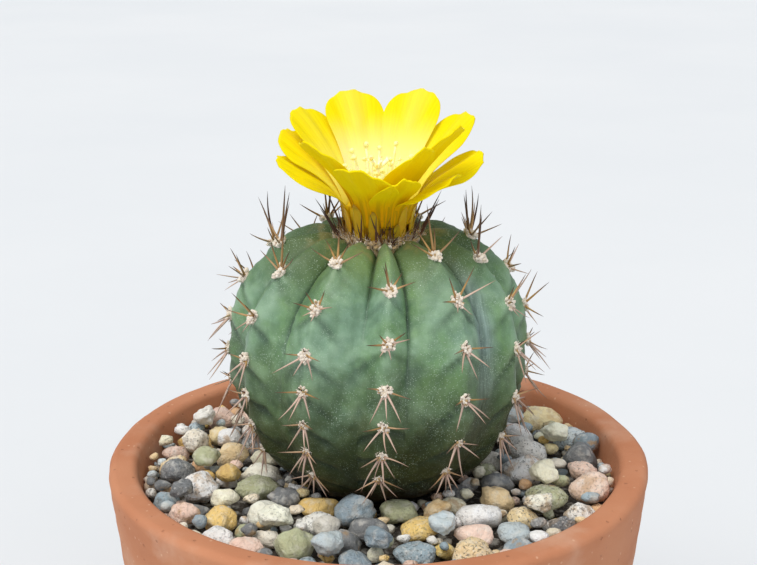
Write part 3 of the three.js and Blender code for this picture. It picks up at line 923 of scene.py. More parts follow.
def skin_material():
    material, tree, shader = start_material("waxy_skin", 0.5, Specular_IOR_Level=0.4)
    place = place_of(tree)
    fold, swell, towards = marks_of(tree)
    across, along, polar = marks_of(tree, "skin_place")
    streak_place = node(tree, "CombineXYZ", {0: across, 1: along})
    streak_place = node(tree, "Mapping", {"Vector": streak_place, "Scale": (1.0, 0.14, 1.0)})
    streaks = effect(tree, "mottle", streak_place, Scale=70, Spread=0.2)
    flank = remap(tree, towards, 0.45, 0.9)
    skin = living_skin(tree, place, swell, streaks, flank)
    skin = crown_tints(tree, place, skin, polar)
    skin = shaded_lower_half(tree, place, skin, polar)
    # Painted shade in the creases under the cushions and in the sharp folds of the furrows.
    skin = layer(tree, skin, fold, 0.75, (0.025, 0.05, 0.03))
    wax = effect(tree, "grit", place, Scale=2600, Coarse=0.35)
    relief = maths(tree, "ADD", wax, times(tree, streaks, times(tree, flank, 0.8)))
    gloss = effect(tree, "mottle", place, Scale=150, Spread=0.3)
    finish_material(
        tree, shader,
        Base_Color=waxy_dust(tree, place, skin),
        Roughness=remap(tree, gloss, 0, 1, 0.42, 0.58),
        Normal=bump(tree, relief, 0.12 * MM, 0.6),
    )
    return material


finish_piece("cactus_body", body_mesh, skin_material(), "stem_skin", "cactus_stem")

# %% [markdown]
# ## Cushions of wool
# A cushion is a felted pad that dries into small cream clumps, like popcorn, with a few red-brown
# stubs between them. One rounded core per cushion is ringed and topped by many small blobs, and
# fine hairs stand out at its edge. All of a rib's cushions and spines are one piece, as in the
# frame.

# %% The frame of each cushion
PAD_HALF_WIDTH = 1.4 * MM
PAD_HALF_HEIGHT = 1.6 * MM
PAD_DEPTH = 0.95 * MM
# Sizes of a rib's cushions as shares, from the youngest down.
PAD_SIZES = np.array([1.08, 1.05, 1.0, 0.85, 0.75, 0.66, 0.62])
CLUMPS_PER_PAD = 21
STUBS_PER_PAD = 4
HAIRS_PER_PAD = 16
STUB_TONE = 0.9
NEEDLE = needle_template(6, 6)
HAIR = needle_template(3, 1)
BALL = template(bmesh.ops.create_uvsphere, u_segments=16, v_segments=10, radius=1)
TUFT = template(bmesh.ops.create_uvsphere, u_segments=7, v_segments=5, radius=1)


def level_side(azimuth):
    """Level directions square to the way out from the axis."""
    return np.stack([np.cos(azimuth), np.sin(azimuth), 0 * azimuth], axis=1)


def cushion_axes(rib):
    """For one rib's cushions: the centres, and the directions out, up the rib and to the side."""
    angles = CUSHIONS[rib]
    azimuth = crest_azimuth(rib, angles)
    radius, height = crest(angles)
    out_radius, out_height = crest_normal(angles)
    centre = around(radius, height, azimuth)
    out = around(out_radius, out_height - STEM_CENTRE, azimuth)
    side = level_side(azimuth)
    return centre, out, np.cross(out, side), side


def along_axes(axes, side_part, up_part, out_part):
    """Sums of the cushions' own axes, as one direction or offset for each row of the parts."""
    _, out, up, side = axes
    return side * side_part[:, None] + up * up_part[:, None] + out * out_part[:, None]


def picked(axes, owner):
    return [axis[owner] for axis in axes]


print("needle faces:", len(NEEDLE.polygons), "tuft faces:", len(TUFT.polygons))


# %% Wool of one rib's cushions
def wool_cores(axes, size, rng):
    half = np.stack([PAD_HALF_WIDTH * size, PAD_HALF_HEIGHT * size, PAD_DEPTH * size], axis=1)
    return blobs(BALL, axes[0] + axes[1] * 0.35 * MM, axes[1], half * 0.86, 0.25, rng, 0.1)


def wool_clumps(axes, size, rng):
    """Clumps spread over each core. Those nearer its edge lean further outwards."""
    owner = np.repeat(np.arange(len(size)), CLUMPS_PER_PAD)
    near = picked(axes, owner)
    size = size[owner]
    clock = rng.uniform(0, 2 * math.pi, len(owner))
    ring = np.sqrt(rng.uniform(0.02, 1.0, len(owner)))
    across = ring * np.sin(clock) * PAD_HALF_WIDTH * size
    upward = ring * np.cos(clock) * PAD_HALF_HEIGHT * size
    lift = (0.45 + 0.75 * np.sqrt(1 - 0.9 * ring**2)) * MM * size
    centres = near[0] + along_axes(near, across, upward, lift)
    lean = ring * rng.uniform(0.7, 1.5, len(owner))
    directions = along_axes(near, lean * np.sin(clock), lean * np.cos(clock), np.ones(len(owner)))
    girth = rng.uniform(0.3, 0.46, len(owner)) * MM * size
    breadth = girth * rng.uniform(0.8, 1.2, len(owner))
    length = girth * rng.uniform(1.2, 2.0, len(owner))
    sizes = np.stack([girth, breadth, length], axis=1)
    tones = rng.uniform(0.0, 0.3, len(owner))
    return blobs(TUFT, centres, unit(directions), sizes, tones, rng, 0.16)


def wool_stubs(axes, count, rng):
    """Red-brown stubs that stick out between the clumps."""
    near = picked(axes, np.repeat(np.arange(count), STUBS_PER_PAD))
    across, upward = rng.normal(0, 0.5, (2, len(near[0]))) * MM
    centres = near[0] + along_axes(near, across, upward, np.full(len(across), 1.25 * MM))
    sizes = rng.uniform(0.16, 0.3, (len(across), 1)) * MM
    return blobs(TUFT, centres, near[1], sizes, STUB_TONE, rng)


def edge_hairs(axes, count, rng):
    near = picked(axes, np.repeat(np.arange(count), HAIRS_PER_PAD))
    clock = rng.uniform(0, 2 * math.pi, len(near[0]))
    across, upward = np.sin(clock), np.cos(clock)
    edge = (across * PAD_HALF_WIDTH * 0.8, upward * PAD_HALF_HEIGHT * 0.8)
    feet = near[0] + along_axes(near, *edge, np.full(len(clock), 0.5 * MM))
    length = rng.uniform(0.3, 0.7, len(clock)) * MM
    lift = length * rng.uniform(0.0, 0.8, len(clock))
    tips = feet + along_axes(near, across * length, upward * length, lift)
    return needles(HAIR, feet, tips, 0.09 * MM, 0 * feet, 0.15, rng)


def wool_pads(axes, rng):
    """The cores, clumps, stubs and edge hairs of one rib's cushions."""
    count = len(axes[0])
    size = PAD_SIZES[:count]
    return [
        wool_cores(axes, size, rng),
        wool_clumps(axes, size, rng),
        wool_stubs(axes, count, rng),
        edge_hairs(axes, count, rng),
    ]


print("clumps on each cushion:", CLUMPS_PER_PAD)

# %% [markdown]
# ## Spines
# The youngest cushions, near the crown, hold long amber spines that stand up. Lower down the
# spines are shorter, paler and spread sideways and down. Each kind of cushion is a short list of
# spines, and every spine is then turned, bent and stretched a little at random.

# %% Kinds of spine cluster
# Lean from the skin's outward direction and clock angle from straight up, in degrees, then
# length and radius in millimetres, and tone: 0 is pale, 0.5 amber and 1 dark brown.
CROWN_CLUSTER = [
    (38, -4, 10.0, 0.34, 0.6), (48, -30, 7.4, 0.3, 0.62), (50, 42, 6.4, 0.3, 0.66),
    (62, -78, 8.4, 0.3, 0.5), (62, 76, 8.8, 0.3, 0.5), (60, 12, 3.2, 0.2, 0.3),
]
SIDE_CROWN_CLUSTER = [
    (30, -14, 9.8, 0.36, 0.9), (38, 18, 9.2, 0.33, 0.74), (50, -44, 7.0, 0.3, 0.6),
    (56, -86, 7.4, 0.3, 0.3), (56, 84, 7.6, 0.3, 0.34), (56, 44, 4.4, 0.24, 0.4),
]
UPPER_CLUSTER = [
    (44, -36, 6.0, 0.3, 0.66), (58, -86, 6.4, 0.3, 0.46), (50, 46, 7.0, 0.3, 0.58),
    (56, 76, 7.8, 0.28, 0.2), (62, 172, 4.2, 0.24, 0.1), (62, -148, 4.0, 0.23, 0.15),
]
MIDDLE_CLUSTER = [
    (60, -86, 5.2, 0.25, 0.42), (60, 84, 5.6, 0.25, 0.42), (54, 142, 6.6, 0.3, 0.08),
    (54, 176, 6.2, 0.27, 0.08), (56, -140, 6.8, 0.29, 0.12), (40, 6, 2.2, 0.2, 0.95),
]
LOWER_CLUSTER = [
    (60, -98, 5.8, 0.24, 0.3), (62, 96, 5.4, 0.24, 0.3), (56, -138, 7.6, 0.29, 0.1),
    (58, 130, 6.0, 0.27, 0.1), (50, 174, 7.6, 0.31, 0.12), (60, -160, 4.8, 0.22, 0.15),
]
# How long each rib's young spines grow, as a share.
SPINE_GROWTH = [0.78, 1.08, 1.2, 1.25, 1.2, 1.15, 1.15, 1.15, 1.2, 1.25, 1.1, 0.86]
SHORTEST_SPINE = 2 * MM
SPINE_CLEARANCE = 1.5 * MM
print("spines on each cushion:", len(MIDDLE_CLUSTER))


# %% Spines of one rib
def cluster_of(rib, angle):
    """The kind of cluster, by how far down the rib a cushion sits."""
    top = CROWN_CLUSTER if rib in (0, 1, 10, 11) else SIDE_CROWN_CLUSTER
    for limit, cluster in ((54, top), (76, UPPER_CLUSTER), (98, MIDDLE_CLUSTER)):
        if angle < math.radians(limit):
            return cluster
    return LOWER_CLUSTER


def rib_spines(rib, axes, rng):
    """One rib's spines, none of which reaches down into the gravel."""
    angles = CUSHIONS[rib]
    rows = [(owner, *spine) for owner, angle in enumerate(angles) for spine in cluster_of(rib, angle)]
    owner, lean, clock, length, girth, tone = np.array(rows).T
    owner = owner.astype(int)
    lean = np.radians(lean + rng.normal(0, 4, len(owner)))
    clock = np.radians(clock + rng.normal(0, 8, len(owner)))
    young = angles[owner] < math.radians(76)
    growth = np.where(young, SPINE_GROWTH[rib], max(SPINE_GROWTH[rib], 1.06))
    length = length * growth * rng.uniform(0.8, 1.12, len(owner)) * MM
    near = picked(axes, owner)
    direction = along_axes(near, np.sin(lean) * np.sin(clock), np.sin(lean) * np.cos(clock), np.cos(lean))
    spread = along_axes(near, np.sin(clock), np.cos(clock), 0 * clock)
    feet = near[0] + near[1] * 0.7 * MM + spread * 0.45 * MM
    room = feet[:, 2] - (GRAVEL_TOP + SPINE_CLEARANCE)
    longest = np.where(direction[:, 2] < 0, room / np.maximum(-direction[:, 2], 0.05), 1)
    length = np.maximum(np.minimum(length, longest), SHORTEST_SPINE)
    bend = unit(rng.normal(size=feet.shape)) * (length * rng.uniform(0, 0.05, len(owner)))[:, None]
    tone = np.clip(tone + rng.normal(0, 0.07, len(owner)), 0, 1)
    return needles(NEEDLE, feet, feet + direction * length[:, None], girth * MM, bend, tone, rng)


# %% [markdown]
# ## Finish of wool and spines
# The tone stored at each point picks the colour: cream or tan wool, red-brown stubs, or a spine
# from pale to dark. Each spine also darkens towards its tip, which its stored height gives. A
# material for every kind would be easier to read, but stored tones need only these two.


# %% Spine and wool colours
def spine_material():
    material, tree, shader = start_material("spines", 0.42, Specular_IOR_Level=0.5)
    height, tone, chance = marks_of(tree)
    pale = ramp(
        tree, height, (0, (0.4, 0.25, 0.19)), (0.2, (0.62, 0.46, 0.38)), (0.8, (0.52, 0.37, 0.29)),
        (1, (0.25, 0.14, 0.09)),
    )
    amber = ramp(
        tree, height, (0, (0.42, 0.25, 0.09)), (0.4, (0.46, 0.27, 0.09)), (0.7, (0.2, 0.1, 0.04)),
        (1, (0.03, 0.016, 0.01)),
    )
    dark = ramp(
        tree, height, (0, (0.16, 0.06, 0.03)), (0.5, (0.07, 0.025, 0.015)), (1, (0.025, 0.012, 0.01)),
    )
    colour = mix(tree, remap(tree, tone, 0.1, 0.5), pale, amber)
    colour = mix(tree, remap(tree, tone, 0.6, 0.95), colour, dark)
    place = place_of(tree)
    bands = effect(tree, "mottle", place, Scale=900, Spread=0.25)
    colour = layer(tree, colour, bands, 0.35, (0.85, 0.68, 0.55), "MULTIPLY")
    worn = remap(tree, chance, 0.0, 1.0, 0.75, 1.15)
    bright = node(tree, "HueSaturation", {"Value": worn, "Color": colour})
    relief = effect(tree, "grit", place, Scale=4000, Coarse=0.4)
    finish_material(tree, shader, Base_Color=bright, Normal=bump(tree, relief, 0.05 * MM, 0.5))
    return material


def wool_material():
    material, tree, shader = start_material("felted_wool", 0.95, Specular_IOR_Level=0.15, Sheen_Weight=0.3)
    _, tone, chance = marks_of(tree)
    place = place_of(tree)
    patches = effect(tree, "mottle", place, Scale=700, Spread=0.3)
    cream = mix(tree, patches, (0.76, 0.67, 0.55), (0.92, 0.87, 0.77))
    pink = layer(tree, cream, chance, 0.22, (0.66, 0.45, 0.36))
    stub = mix(tree, remap(tree, tone, 0.5, 0.8), pink, (0.16, 0.05, 0.03))
    fuzz = effect(tree, "grit", place, Scale=5200, Coarse=0.4)
    finish_material(
        tree, shader,
        Base_Color=mix(tree, remap(tree, tone, 0.22, 0.42, 0, 0.88), stub, (0.5, 0.34, 0.15)),
        Normal=bump(tree, fuzz, 0.15 * MM),
    )
    return material


SPINE_FINISH = spine_material()
WOOL_FINISH = wool_material()


# %% Put the cushions and spines on every rib
def two_finishes(name, wool_meshes, spine_meshes, slot, node_name):
    """One piece of woolly and of spiny parts, each with its own finish."""
    wool, spines = joined(wool_meshes), joined(spine_meshes)
    wool_faces = len(wool.polygons)
    mesh = joined([wool, spines])
    finish_piece(name, mesh, WOOL_FINISH, slot, node_name)
    mesh.materials.append(SPINE_FINISH)
    second = np.arange(len(mesh.polygons)) >= wool_faces
    mesh.polygons.foreach_set("material_index", second.astype(np.int32))


for rib in range(RIB_COUNT):
    rng = np.random.default_rng(100 + rib)
    axes = cushion_axes(rib)
    wool = wool_pads(axes, rng)
    spines = rib_spines(rib, axes, rng)
    two_finishes(f"spine_row_{rib + 1:02d}", wool, [spines], "spines", f"spines_rib_{rib + 1:02d}")

# %% [markdown]
# ## The crown
# Round the flower's foot the newest cushions are packed together: tan felt, cream tufts at the
# ends of the ribs, long dark spines that stand up, and a thicket of short brown bristles that
# lean on the flower's tube.

# %% Crown wool
CROWN_RADIUS = 8.7 * MM
CROWN_TOP = FLOWER_BASE + 1.4 * MM - STEM_CENTRE
FELT_PADS = 24
WOOL_TUFTS = 420
# Each kind: how many, then the (low, high) ranges of the foot's radius and height, the tip's rise
# and reach outwards, and the needle's own radius, in millimetres, and of its tone.
FLUFF = (800, (6.9, 10.8), (-0.5, 1.2), (0.8, 3.0), (-0.9, 1.6), (0.07, 0.11), (0.2, 0.5))
BEARD = (620, (7.2, 8.8), (-0.4, 2.0), (0.6, 2.0), (0.2, 2.4), (0.08, 0.13), (0.0, 0.4))
SHORT_SPINES = (38, (7.6, 9.8), (0, 1.2), (2.5, 7), (-0.4, 3.6), (0.15, 0.23), (0.7, 1.0))
BRISTLES = (130, (7.2, 9.6), (0, 1.8), (0.8, 3.6), (-0.8, 1.8), (0.09, 0.14), (0.5, 0.95))
HIGH_BRISTLES = (90, (6.8, 7.9), (0.5, 5.0), (0.8, 3.2), (0.6, 3.0), (0.09, 0.14), (0.7, 1.0))


def ring_axes(radius, height, azimuth):
    """Places on a level ring, with the directions outwards from the axis and to the side."""
    place = around(radius, height, azimuth)
    outward = around(np.ones_like(azimuth), 0 * azimuth - STEM_CENTRE, azimuth)
    return place, outward, level_side(azimuth)


def crown_needles(source, rng, count, radius, height, rise, reach, girth, tone):
    """One kind of needle, spread round the flower's foot."""
    azimuth = rng.uniform(0, 2 * math.pi, count)
    foot_radius = rng.uniform(*radius, count) * MM
    foot_height = CROWN_TOP + rng.uniform(*height, count) * MM
    feet, outward, side = ring_axes(foot_radius, foot_height, azimuth)
    lean = rng.uniform(*reach, count)[:, None] * outward + rng.normal(0, 0.8, (count, 1)) * side
    tips = feet + (lean + rng.uniform(*rise, count)[:, None] * UP) * MM
    bend = unit(rng.normal(size=feet.shape)) * rng.uniform(0, 0.3, (count, 1)) * MM
    girths = rng.uniform(*girth, count) * MM
    return needles(source, feet, tips, girths, bend, rng.uniform(*tone, count), rng)


def crown_felt(rng):
    turn = np.linspace(0, 2 * math.pi, FELT_PADS, endpoint=False)
    radius = np.full(FELT_PADS, CROWN_RADIUS)
    place, outward, _ = ring_axes(radius, CROWN_TOP - 0.6 * MM + 0 * turn, turn)
    size = [1.7 * MM, 1.5 * MM, 1.9 * MM]
    return blobs(BALL, place, unit(outward * 0.4 + UP), size, 0.42, rng, 0.14)


def crown_tufts(rng):
    """Tufts over the felt: tan ones, and cream ones where the ribs end."""
    azimuth = rng.uniform(0, 2 * math.pi, WOOL_TUFTS)
    spread = rng.uniform(-2.4, 2.6, WOOL_TUFTS)
    arch = np.sqrt(np.clip(1 - (spread / 2.9) ** 2, 0, 1)) * 2.1
    height = CROWN_TOP - 0.5 * MM + arch * MM
    place, outward, _ = ring_axes(CROWN_RADIUS + spread * MM, height, azimuth)
    ruffled = rng.normal(0, 0.35, (WOOL_TUFTS, 3))
    direction = unit(outward * (spread / 2.5)[:, None] + 0.9 * UP + ruffled)
    girth = rng.uniform(0.2, 0.42, WOOL_TUFTS) * MM
    sizes = np.stack([girth, girth, girth * rng.uniform(1.2, 2.4, WOOL_TUFTS)], axis=1)
    rib_end = np.abs((azimuth - crest_azimuth(0, 0.3)) / RIB_ANGLE % 1 - 0.5) > 0.24
    young = (spread > 0.5) & rib_end
    tan = rng.uniform(0, 0.22, WOOL_TUFTS), rng.uniform(0.3, 0.5, WOOL_TUFTS)
    return blobs(TUFT, place, direction, sizes, np.where(young, *tan), rng, 0.16)


def crown_wool(rng):
    return [
        crown_felt(rng),
        crown_tufts(rng),
        crown_needles(HAIR, rng, *FLUFF),
        crown_needles(HAIR, rng, *BEARD),
    ]


print("wool tufts at the crown:", WOOL_TUFTS)

# %% Crown spines and bristles
# Azimuth in degrees, then how far the tip lies outwards, to the right and up, in millimetres.
CROWN_SPINES = [
    (-26, 1.6, 0.9, 8.6), (10, 1.4, -3.8, 8.8), (12, 1.6, 2.4, 3.4), (-3, 0.6, 0.0, 8.2),
    (52, 2.6, 1.0, 7.6), (68, 5.2, 1.6, 10.6), (84, 4.4, -1.0, 9.4), (98, 5.8, 0.6, 11.0),
    (-62, 3.4, -1.2, 6.2), (-78, 4.6, -0.4, 8.2), (-96, 5.6, 0.8, 9.6), (-118, 5.0, 0.2, 11.0),
    (128, 4.2, 0.6, 10.2), (150, 4.8, -0.8, 11.4), (172, 3.6, 1.2, 10.0), (-165, 4.6, 0.4, 11.6),
    (-140, 3.8, -1.0, 10.4),
]


def tall_crown_spines(rng):
    azimuth, outwards, sidewards, rise = np.array(CROWN_SPINES).T
    count = len(azimuth)
    azimuth = np.radians(azimuth)
    feet, outward, side = ring_axes(np.full(count, 9.1 * MM), CROWN_TOP + 0 * azimuth, azimuth)
    lean = outward * outwards[:, None] + side * sidewards[:, None] + rise[:, None] * UP
    bend = unit(rng.normal(size=feet.shape)) * rng.uniform(0, 0.4, (count, 1)) * MM
    tones = rng.uniform(0.88, 1.0, count)
    return needles(NEEDLE, feet, feet + lean * MM, 0.33 * MM, bend, tones, rng)


def crown_spines(rng):
    return [
        tall_crown_spines(rng),
        crown_needles(NEEDLE, rng, *SHORT_SPINES),
        crown_needles(HAIR, rng, *BRISTLES),
        crown_needles(HAIR, rng, *HIGH_BRISTLES),
    ]


rng = np.random.default_rng(77)
two_finishes("crown_tuft", crown_wool(rng), crown_spines(rng), "wool", "crown_wool")

# %% [markdown]
# ## The flower's tube
# The tube is a fluted cup. Narrow scales lie along it and pass into the outer petals, and some
# dry brown at their tips. The cup is spun from its section and then fluted, and each scale is a
# thin slab bent along the tube's wall. Scales drawn only as colour would leave the outline bare.

# %% Thin slabs for scales and petals
PETAL_COUNT = 13


def slab_template(cuts_across, cuts_along):
    """A thin block from -1 to 1 across, 0 to 1 along, and -0.5 to 0.5 through."""
    bm = bmesh.new()
    bmesh.ops.create_cube(bm, size=1)
    for axis, cuts in ((0, cuts_across), (1, cuts_along)):
        edges = [e for e in bm.edges if abs(e.verts[0].co[axis] - e.verts[1].co[axis]) > 0.5]
        bmesh.ops.subdivide_edges(bm, edges=edges, cuts=cuts, use_grid_fill=True)
    bmesh.ops.transform(bm, matrix=Matrix.Diagonal((2, 1, 1, 1)), verts=bm.verts)
    bmesh.ops.translate(bm, vec=(0, 0.5, 0), verts=bm.verts)
    return to_mesh(bm, "slab")


TUBE_WALL = 8.6 * MM
FLUTE_DEPTH = 0.028
FLUTE_MARK_OF_SCALES = 1.5


def tube_wall(height):
    """The tube's outer radius at a height above the flower's base."""
    radii = np.array([5.6, 6.3, 6.8, 7.4, 7.8]) * MM
    return np.interp(height / MM, [-4, -1, 2, 5.5, 8.6], radii)


print("the tube's radius at its foot and top, in mm:", np.round(tube_wall(np.array([0, TUBE_WALL])) / MM, 1))


# %% The tube's cup and scales
def flower_tube():
    rise = TUBE_TOP - FLOWER_BASE
    outer = [(tube_wall(h), FLOWER_BASE + h) for h in np.linspace(-4 * MM, TUBE_WALL, 14)]
    cup = [
        (7.6, 0.1), (7.0, 0.35), (6.3, 0.2), (5.7, -0.5), (4.9, -1.7), (4.3, -3), (3.6, -4.2), (2.8, -5),
    ]
    inner = [(radius * MM, TUBE_TOP + height * MM) for radius, height in cup]
    centre = [(0.4 * MM, TUBE_TOP - 5.5 * MM), (0.4 * MM, FLOWER_BASE - 4 * MM)]
    mesh = spun([*outer, *inner, *centre], 156, 1 * MM)
    points = points_of(mesh)
    azimuth = np.arctan2(points[:, 0], -points[:, 1])
    radius = np.hypot(points[:, 0], points[:, 1])
    flutes = np.cos(azimuth * PETAL_COUNT) + 0.5 * np.cos(azimuth * PETAL_COUNT * 2 + 1)
    outside = radius > tube_wall(points[:, 2] - FLOWER_BASE) - 0.3 * MM
    set_points(mesh, widened(points, 1 + outside * FLUTE_DEPTH * (flutes - 1)))
    level = np.clip((points[:, 2] - FLOWER_BASE) / rise, 0, 1)
    flute = 0.5 + 0.5 * np.cos(azimuth * PETAL_COUNT)
    set_marks(mesh, "marks", level, flute, azimuth / ABOUT_A_TURN + 0.5)
    return mesh


def tube_scales(count, foot, length, width, flare, rng):
    """Scales that lie along the tube, with pointed tips turned out a little."""
    source = slab_template(5, 11)
    shape = points_of(source)
    mesh = swarm(source, count)
    azimuth = (np.arange(count) + rng.uniform(-0.3, 0.3, count)) * 2 * math.pi / count
    foot = rng.uniform(*foot, (count, 1)) * MM
    length = rng.uniform(*length, (count, 1)) * MM
    along = shape[None, :, 1]
    height = foot + length * along
    half = width * MM * (0.75 + 0.6 * along) * np.clip(1 - along**1.8, 0.004, 1) ** 0.62
    out = 0.3 + rng.uniform(*flare, (count, 1)) * along**2.5 + 0.3 * shape[None, :, 2]
    heights, radii = [6.1, 9.6, 11.4, 12.8, 14.2], [7.7, 8.4, 9.3, 10.6, 12.6]
    petal_backs = np.interp(height / MM, heights, radii) * MM
    radius = np.maximum(tube_wall(height), petal_backs) + out * MM
    turn = azimuth[:, None] + shape[None, :, 0] * half / radius
    set_points(mesh, around(radius, height + FLOWER_BASE - STEM_CENTRE, turn))
    copies = np.ones((count, 1))
    chance = rng.random((count, 1)) + 0 * along
    set_marks(mesh, "marks", along * copies, FLUTE_MARK_OF_SCALES + 0 * along * copies, chance)
    return mesh


# %% Golden tube
def tube_material():
    material, tree, shader = start_material(
        "flower_tube", 0.5, Specular_IOR_Level=0.35, Subsurface_Weight=0.15, Subsurface_Scale=0.002,
    )
    level, flute, turn = marks_of(tree)
    place = place_of(tree)
    stretched = node(tree, "Mapping", {"Vector": place, "Scale": (1, 1, 0.12)})
    veins = effect(tree, "mottle", stretched, Scale=650, Spread=0.2)
    gold = ramp(tree, level, (0, (0.34, 0.17, 0.002)), (0.5, (0.66, 0.33, 0.003)), (1, (0.74, 0.5, 0.003)))
    olive = ramp(tree, level, (0, (0.22, 0.14, 0.006)), (1, (0.48, 0.36, 0.006)))
    skin = layer(tree, gold, veins, 0.6, olive)
    scale = remap(tree, flute, 1.1, 1.4)
    own = ramp(
        tree, turn, (0, (0.66, 0.33, 0.003)), (0.35, (0.74, 0.5, 0.004)), (0.65, (0.4, 0.3, 0.008)),
        (1, (0.7, 0.42, 0.003)),
    )
    skin = layer(tree, skin, scale, 0.6, own)
    dry = times(tree, scale, remap(tree, level, 0.8, 1.0))
    dry = times(tree, dry, remap(tree, turn, 0.3, 0.5, 0.25, 1.0))
    skin = layer(tree, skin, dry, 0.7, (0.3, 0.15, 0.01))
    relief = maths(tree, "ADD", veins, effect(tree, "grit", place, Scale=2500, Coarse=0.5))
    finish_material(tree, shader, Base_Color=skin, Normal=bump(tree, relief, 0.12 * MM, 0.6))
    return material


rng = np.random.default_rng(31)
low_scales = tube_scales(9, (0.2, 2.2), (4.0, 6.0), 1.15, (0.3, 1.0), rng)
high_scales = tube_scales(11, (0.4, 2.4), (7.4, 11.2), 1.45, (-0.1, 0.2), rng)
tube = joined([flower_tube(), low_scales, high_scales])
finish_piece("flower_tube", tube, tube_material(), "tube_skin", "floral_tube")

# %% [markdown]
# ## Petals
# Each petal starts as a thin block and is wrapped about the flower's axis, so it is cupped. Its
# middle line is a curve: steep from inside the tube, or flatter from the tube's outer wall, by how
# far the petal has opened. The end is round with two small teeth, the edges are thin, wavy and
# drooping, and two folds run beside a raised middle. Cloth simulation would bend them too, but a
# curve for each lets the front ones follow the photograph.

# %% Shape one petal
# Azimuth in degrees, how far open, width and length as shares, depth of the round end, and how
# far the right edge is raised over the middle, in millimetres.
PETALS = [
    (-161, 0.04, 1.0, 1.0, 0.34, 0.0),
    (-122, 0.25, 1.0, 1.0, 0.34, 0.0),
    (-107, 0.62, 0.9, 1.02, 0.34, -1.0),
    (-84, 0.93, 0.85, 0.96, 0.34, -1.4),
    (-48, 0.4, 0.95, 0.9, 0.34, -0.8),
    (-10, 0.8, 0.84, 0.92, 0.16, -1.5),
    (14, 0.95, 0.56, 0.9, 0.16, 0.4),
    (27, 0.45, 0.66, 0.93, 0.34, 1.2),
    (50, 1.02, 0.85, 0.87, 0.3, 2.2),
    (55, 0.2, 0.75, 0.96, 0.34, 0.6),
    (86, 0.88, 0.68, 1.0, 0.3, 1.6),
    (111, 0.31, 1.0, 1.01, 0.34, 0.5),
    (152.5, 0.0, 1.02, 1.0, 0.34, 0.0),
]
# Petals that are more open than this, or further round to the back, spring from the outer wall.
WRAPPING_OPENING = 0.58
WRAPPING_AZIMUTH = 1.75
PETAL_HALF_WIDTH = 8.7 * MM
PETAL_THICKNESS = 0.42
EDGE_THINNING = 0.24
WAVE_HEIGHT = 0.35
MIDDLE_RISE = 0.25
FOLD_DEPTH = 0.4
PETAL_SLAB = slab_template(33, 34)


def petal_midline(opening, wraps, along):
    """Radius, height above the globe's centre, and the direction of a petal's middle line."""
    foot = np.array([7.75, -3.4]) if wraps else np.array([5.4 + 2.5 * opening, 0])
    rise = np.array([8.4, 5.6]) if wraps else np.array([7.4 + 1.4 * opening, 5.5 + 0.3 * opening])
    swell = np.array([13.4 + 1.1 * opening, 15 - 10.4 * opening])
    tip = np.array([22.2 + 2.1 * opening, 24.2 - 12.5 * opening])
    along = along[:, None]
    left = 1 - along
    place = left**3 * foot + 3 * along * left**2 * rise + 3 * along**2 * left * swell + along**3 * tip
    slope = left**2 * (rise - foot) + 2 * along * left * (swell - rise) + along**2 * (tip - swell)
    radius, height = place.T * MM
    return radius, height + TUBE_TOP - STEM_CENTRE, *unit(slope).T


def petal_end(side, length, depth, folds, rng):
    """How far a petal reaches at each place across: a round end with two small teeth."""
    end = 0.95 - depth * (1 - np.sqrt(np.clip(1 - side**2, 0, 1)))
    for fold in folds:
        end -= rng.uniform(0.0, 0.02) * np.exp(-(((side - fold) / 0.09) ** 2))
    tooth = rng.uniform(-0.5, 0.1)
    for place in (tooth, tooth + rng.uniform(0.3, 0.5)):
        end += rng.uniform(0.02, 0.04) * np.clip(1 - np.abs(side - place) / 0.14, 0, 1)
    return np.minimum(end * length, 0.999)


def petal(azimuth, opening, width, length, depth, lean, rng):
    mesh = PETAL_SLAB.copy()
    across, along, through = points_of(PETAL_SLAB).T
    side = np.sin(across * math.pi / 2)
    folds = (rng.uniform(-0.55, -0.3), rng.uniform(0.3, 0.55))
    reach = 1 - (1 - along * petal_end(side, length, depth, folds, rng)) ** 1.35
    wraps = opening > WRAPPING_OPENING or abs(azimuth) > WRAPPING_AZIMUTH
    radius, height, out, up = petal_midline(opening, wraps, reach)
    half_width = np.minimum(PETAL_HALF_WIDTH * width, 0.4 * radius + 0.5 * MM)
    phase = rng.uniform(0, ABOUT_A_TURN, 3)
    edge = side**2
    grown = np.clip(reach * 1.6 - 0.3, 0, 1)
    wave = WAVE_HEIGHT * np.sin(reach * 8 + phase[0] + 2 * side) * edge
    pleats = MIDDLE_RISE * np.exp(-((side / 0.12) ** 2))
    for fold in folds:
        pleats -= FOLD_DEPTH * np.exp(-(((side - fold) / 0.14) ** 2))
    curl = -rng.uniform(0.6, 3.0) * np.clip(reach - 0.74, 0, 1) ** 1.6 * (0.5 + edge)
    droop = (lean + rng.uniform(-0.3, 0.3)) * side - (0.6 + 0.5 * min(opening, 1)) * edge
    lift = ((wave + pleats + droop) * grown + curl) * MM
    lift += through * (PETAL_THICKNESS - EDGE_THINNING * edge) * MM
    turn = azimuth + side * half_width / radius
    set_points(mesh, around(radius - up * lift, height + out * lift, turn))
    # How strongly a petal at the back gets the painted glow that stands for light shining through it.
    glow_share = (0.5 - 0.5 * math.cos(azimuth)) ** 5
    set_marks(mesh, "marks", 0.5 + 0.5 * side, reach, np.clip(through + 0.5, 0, 1), glow_share)
    return mesh


print("petals:", len(PETALS), "with faces:", len(PETAL_SLAB.polygons))

# %% [markdown]
# ## The petals' finish
# Petals are silky and let light through, so part of their colour comes from under the surface,
# and a weak glow stands in for the light behind them. Truly see-through petals would take much
# longer to render. Fine veins run lengthwise. On the petals at the back, a pale painted glow lies
# along the middle of the inner face and at its foot, where light shines through. The outer face is
# a deeper mustard, partly its own tone and partly painted shade, and its foot is deeper still.


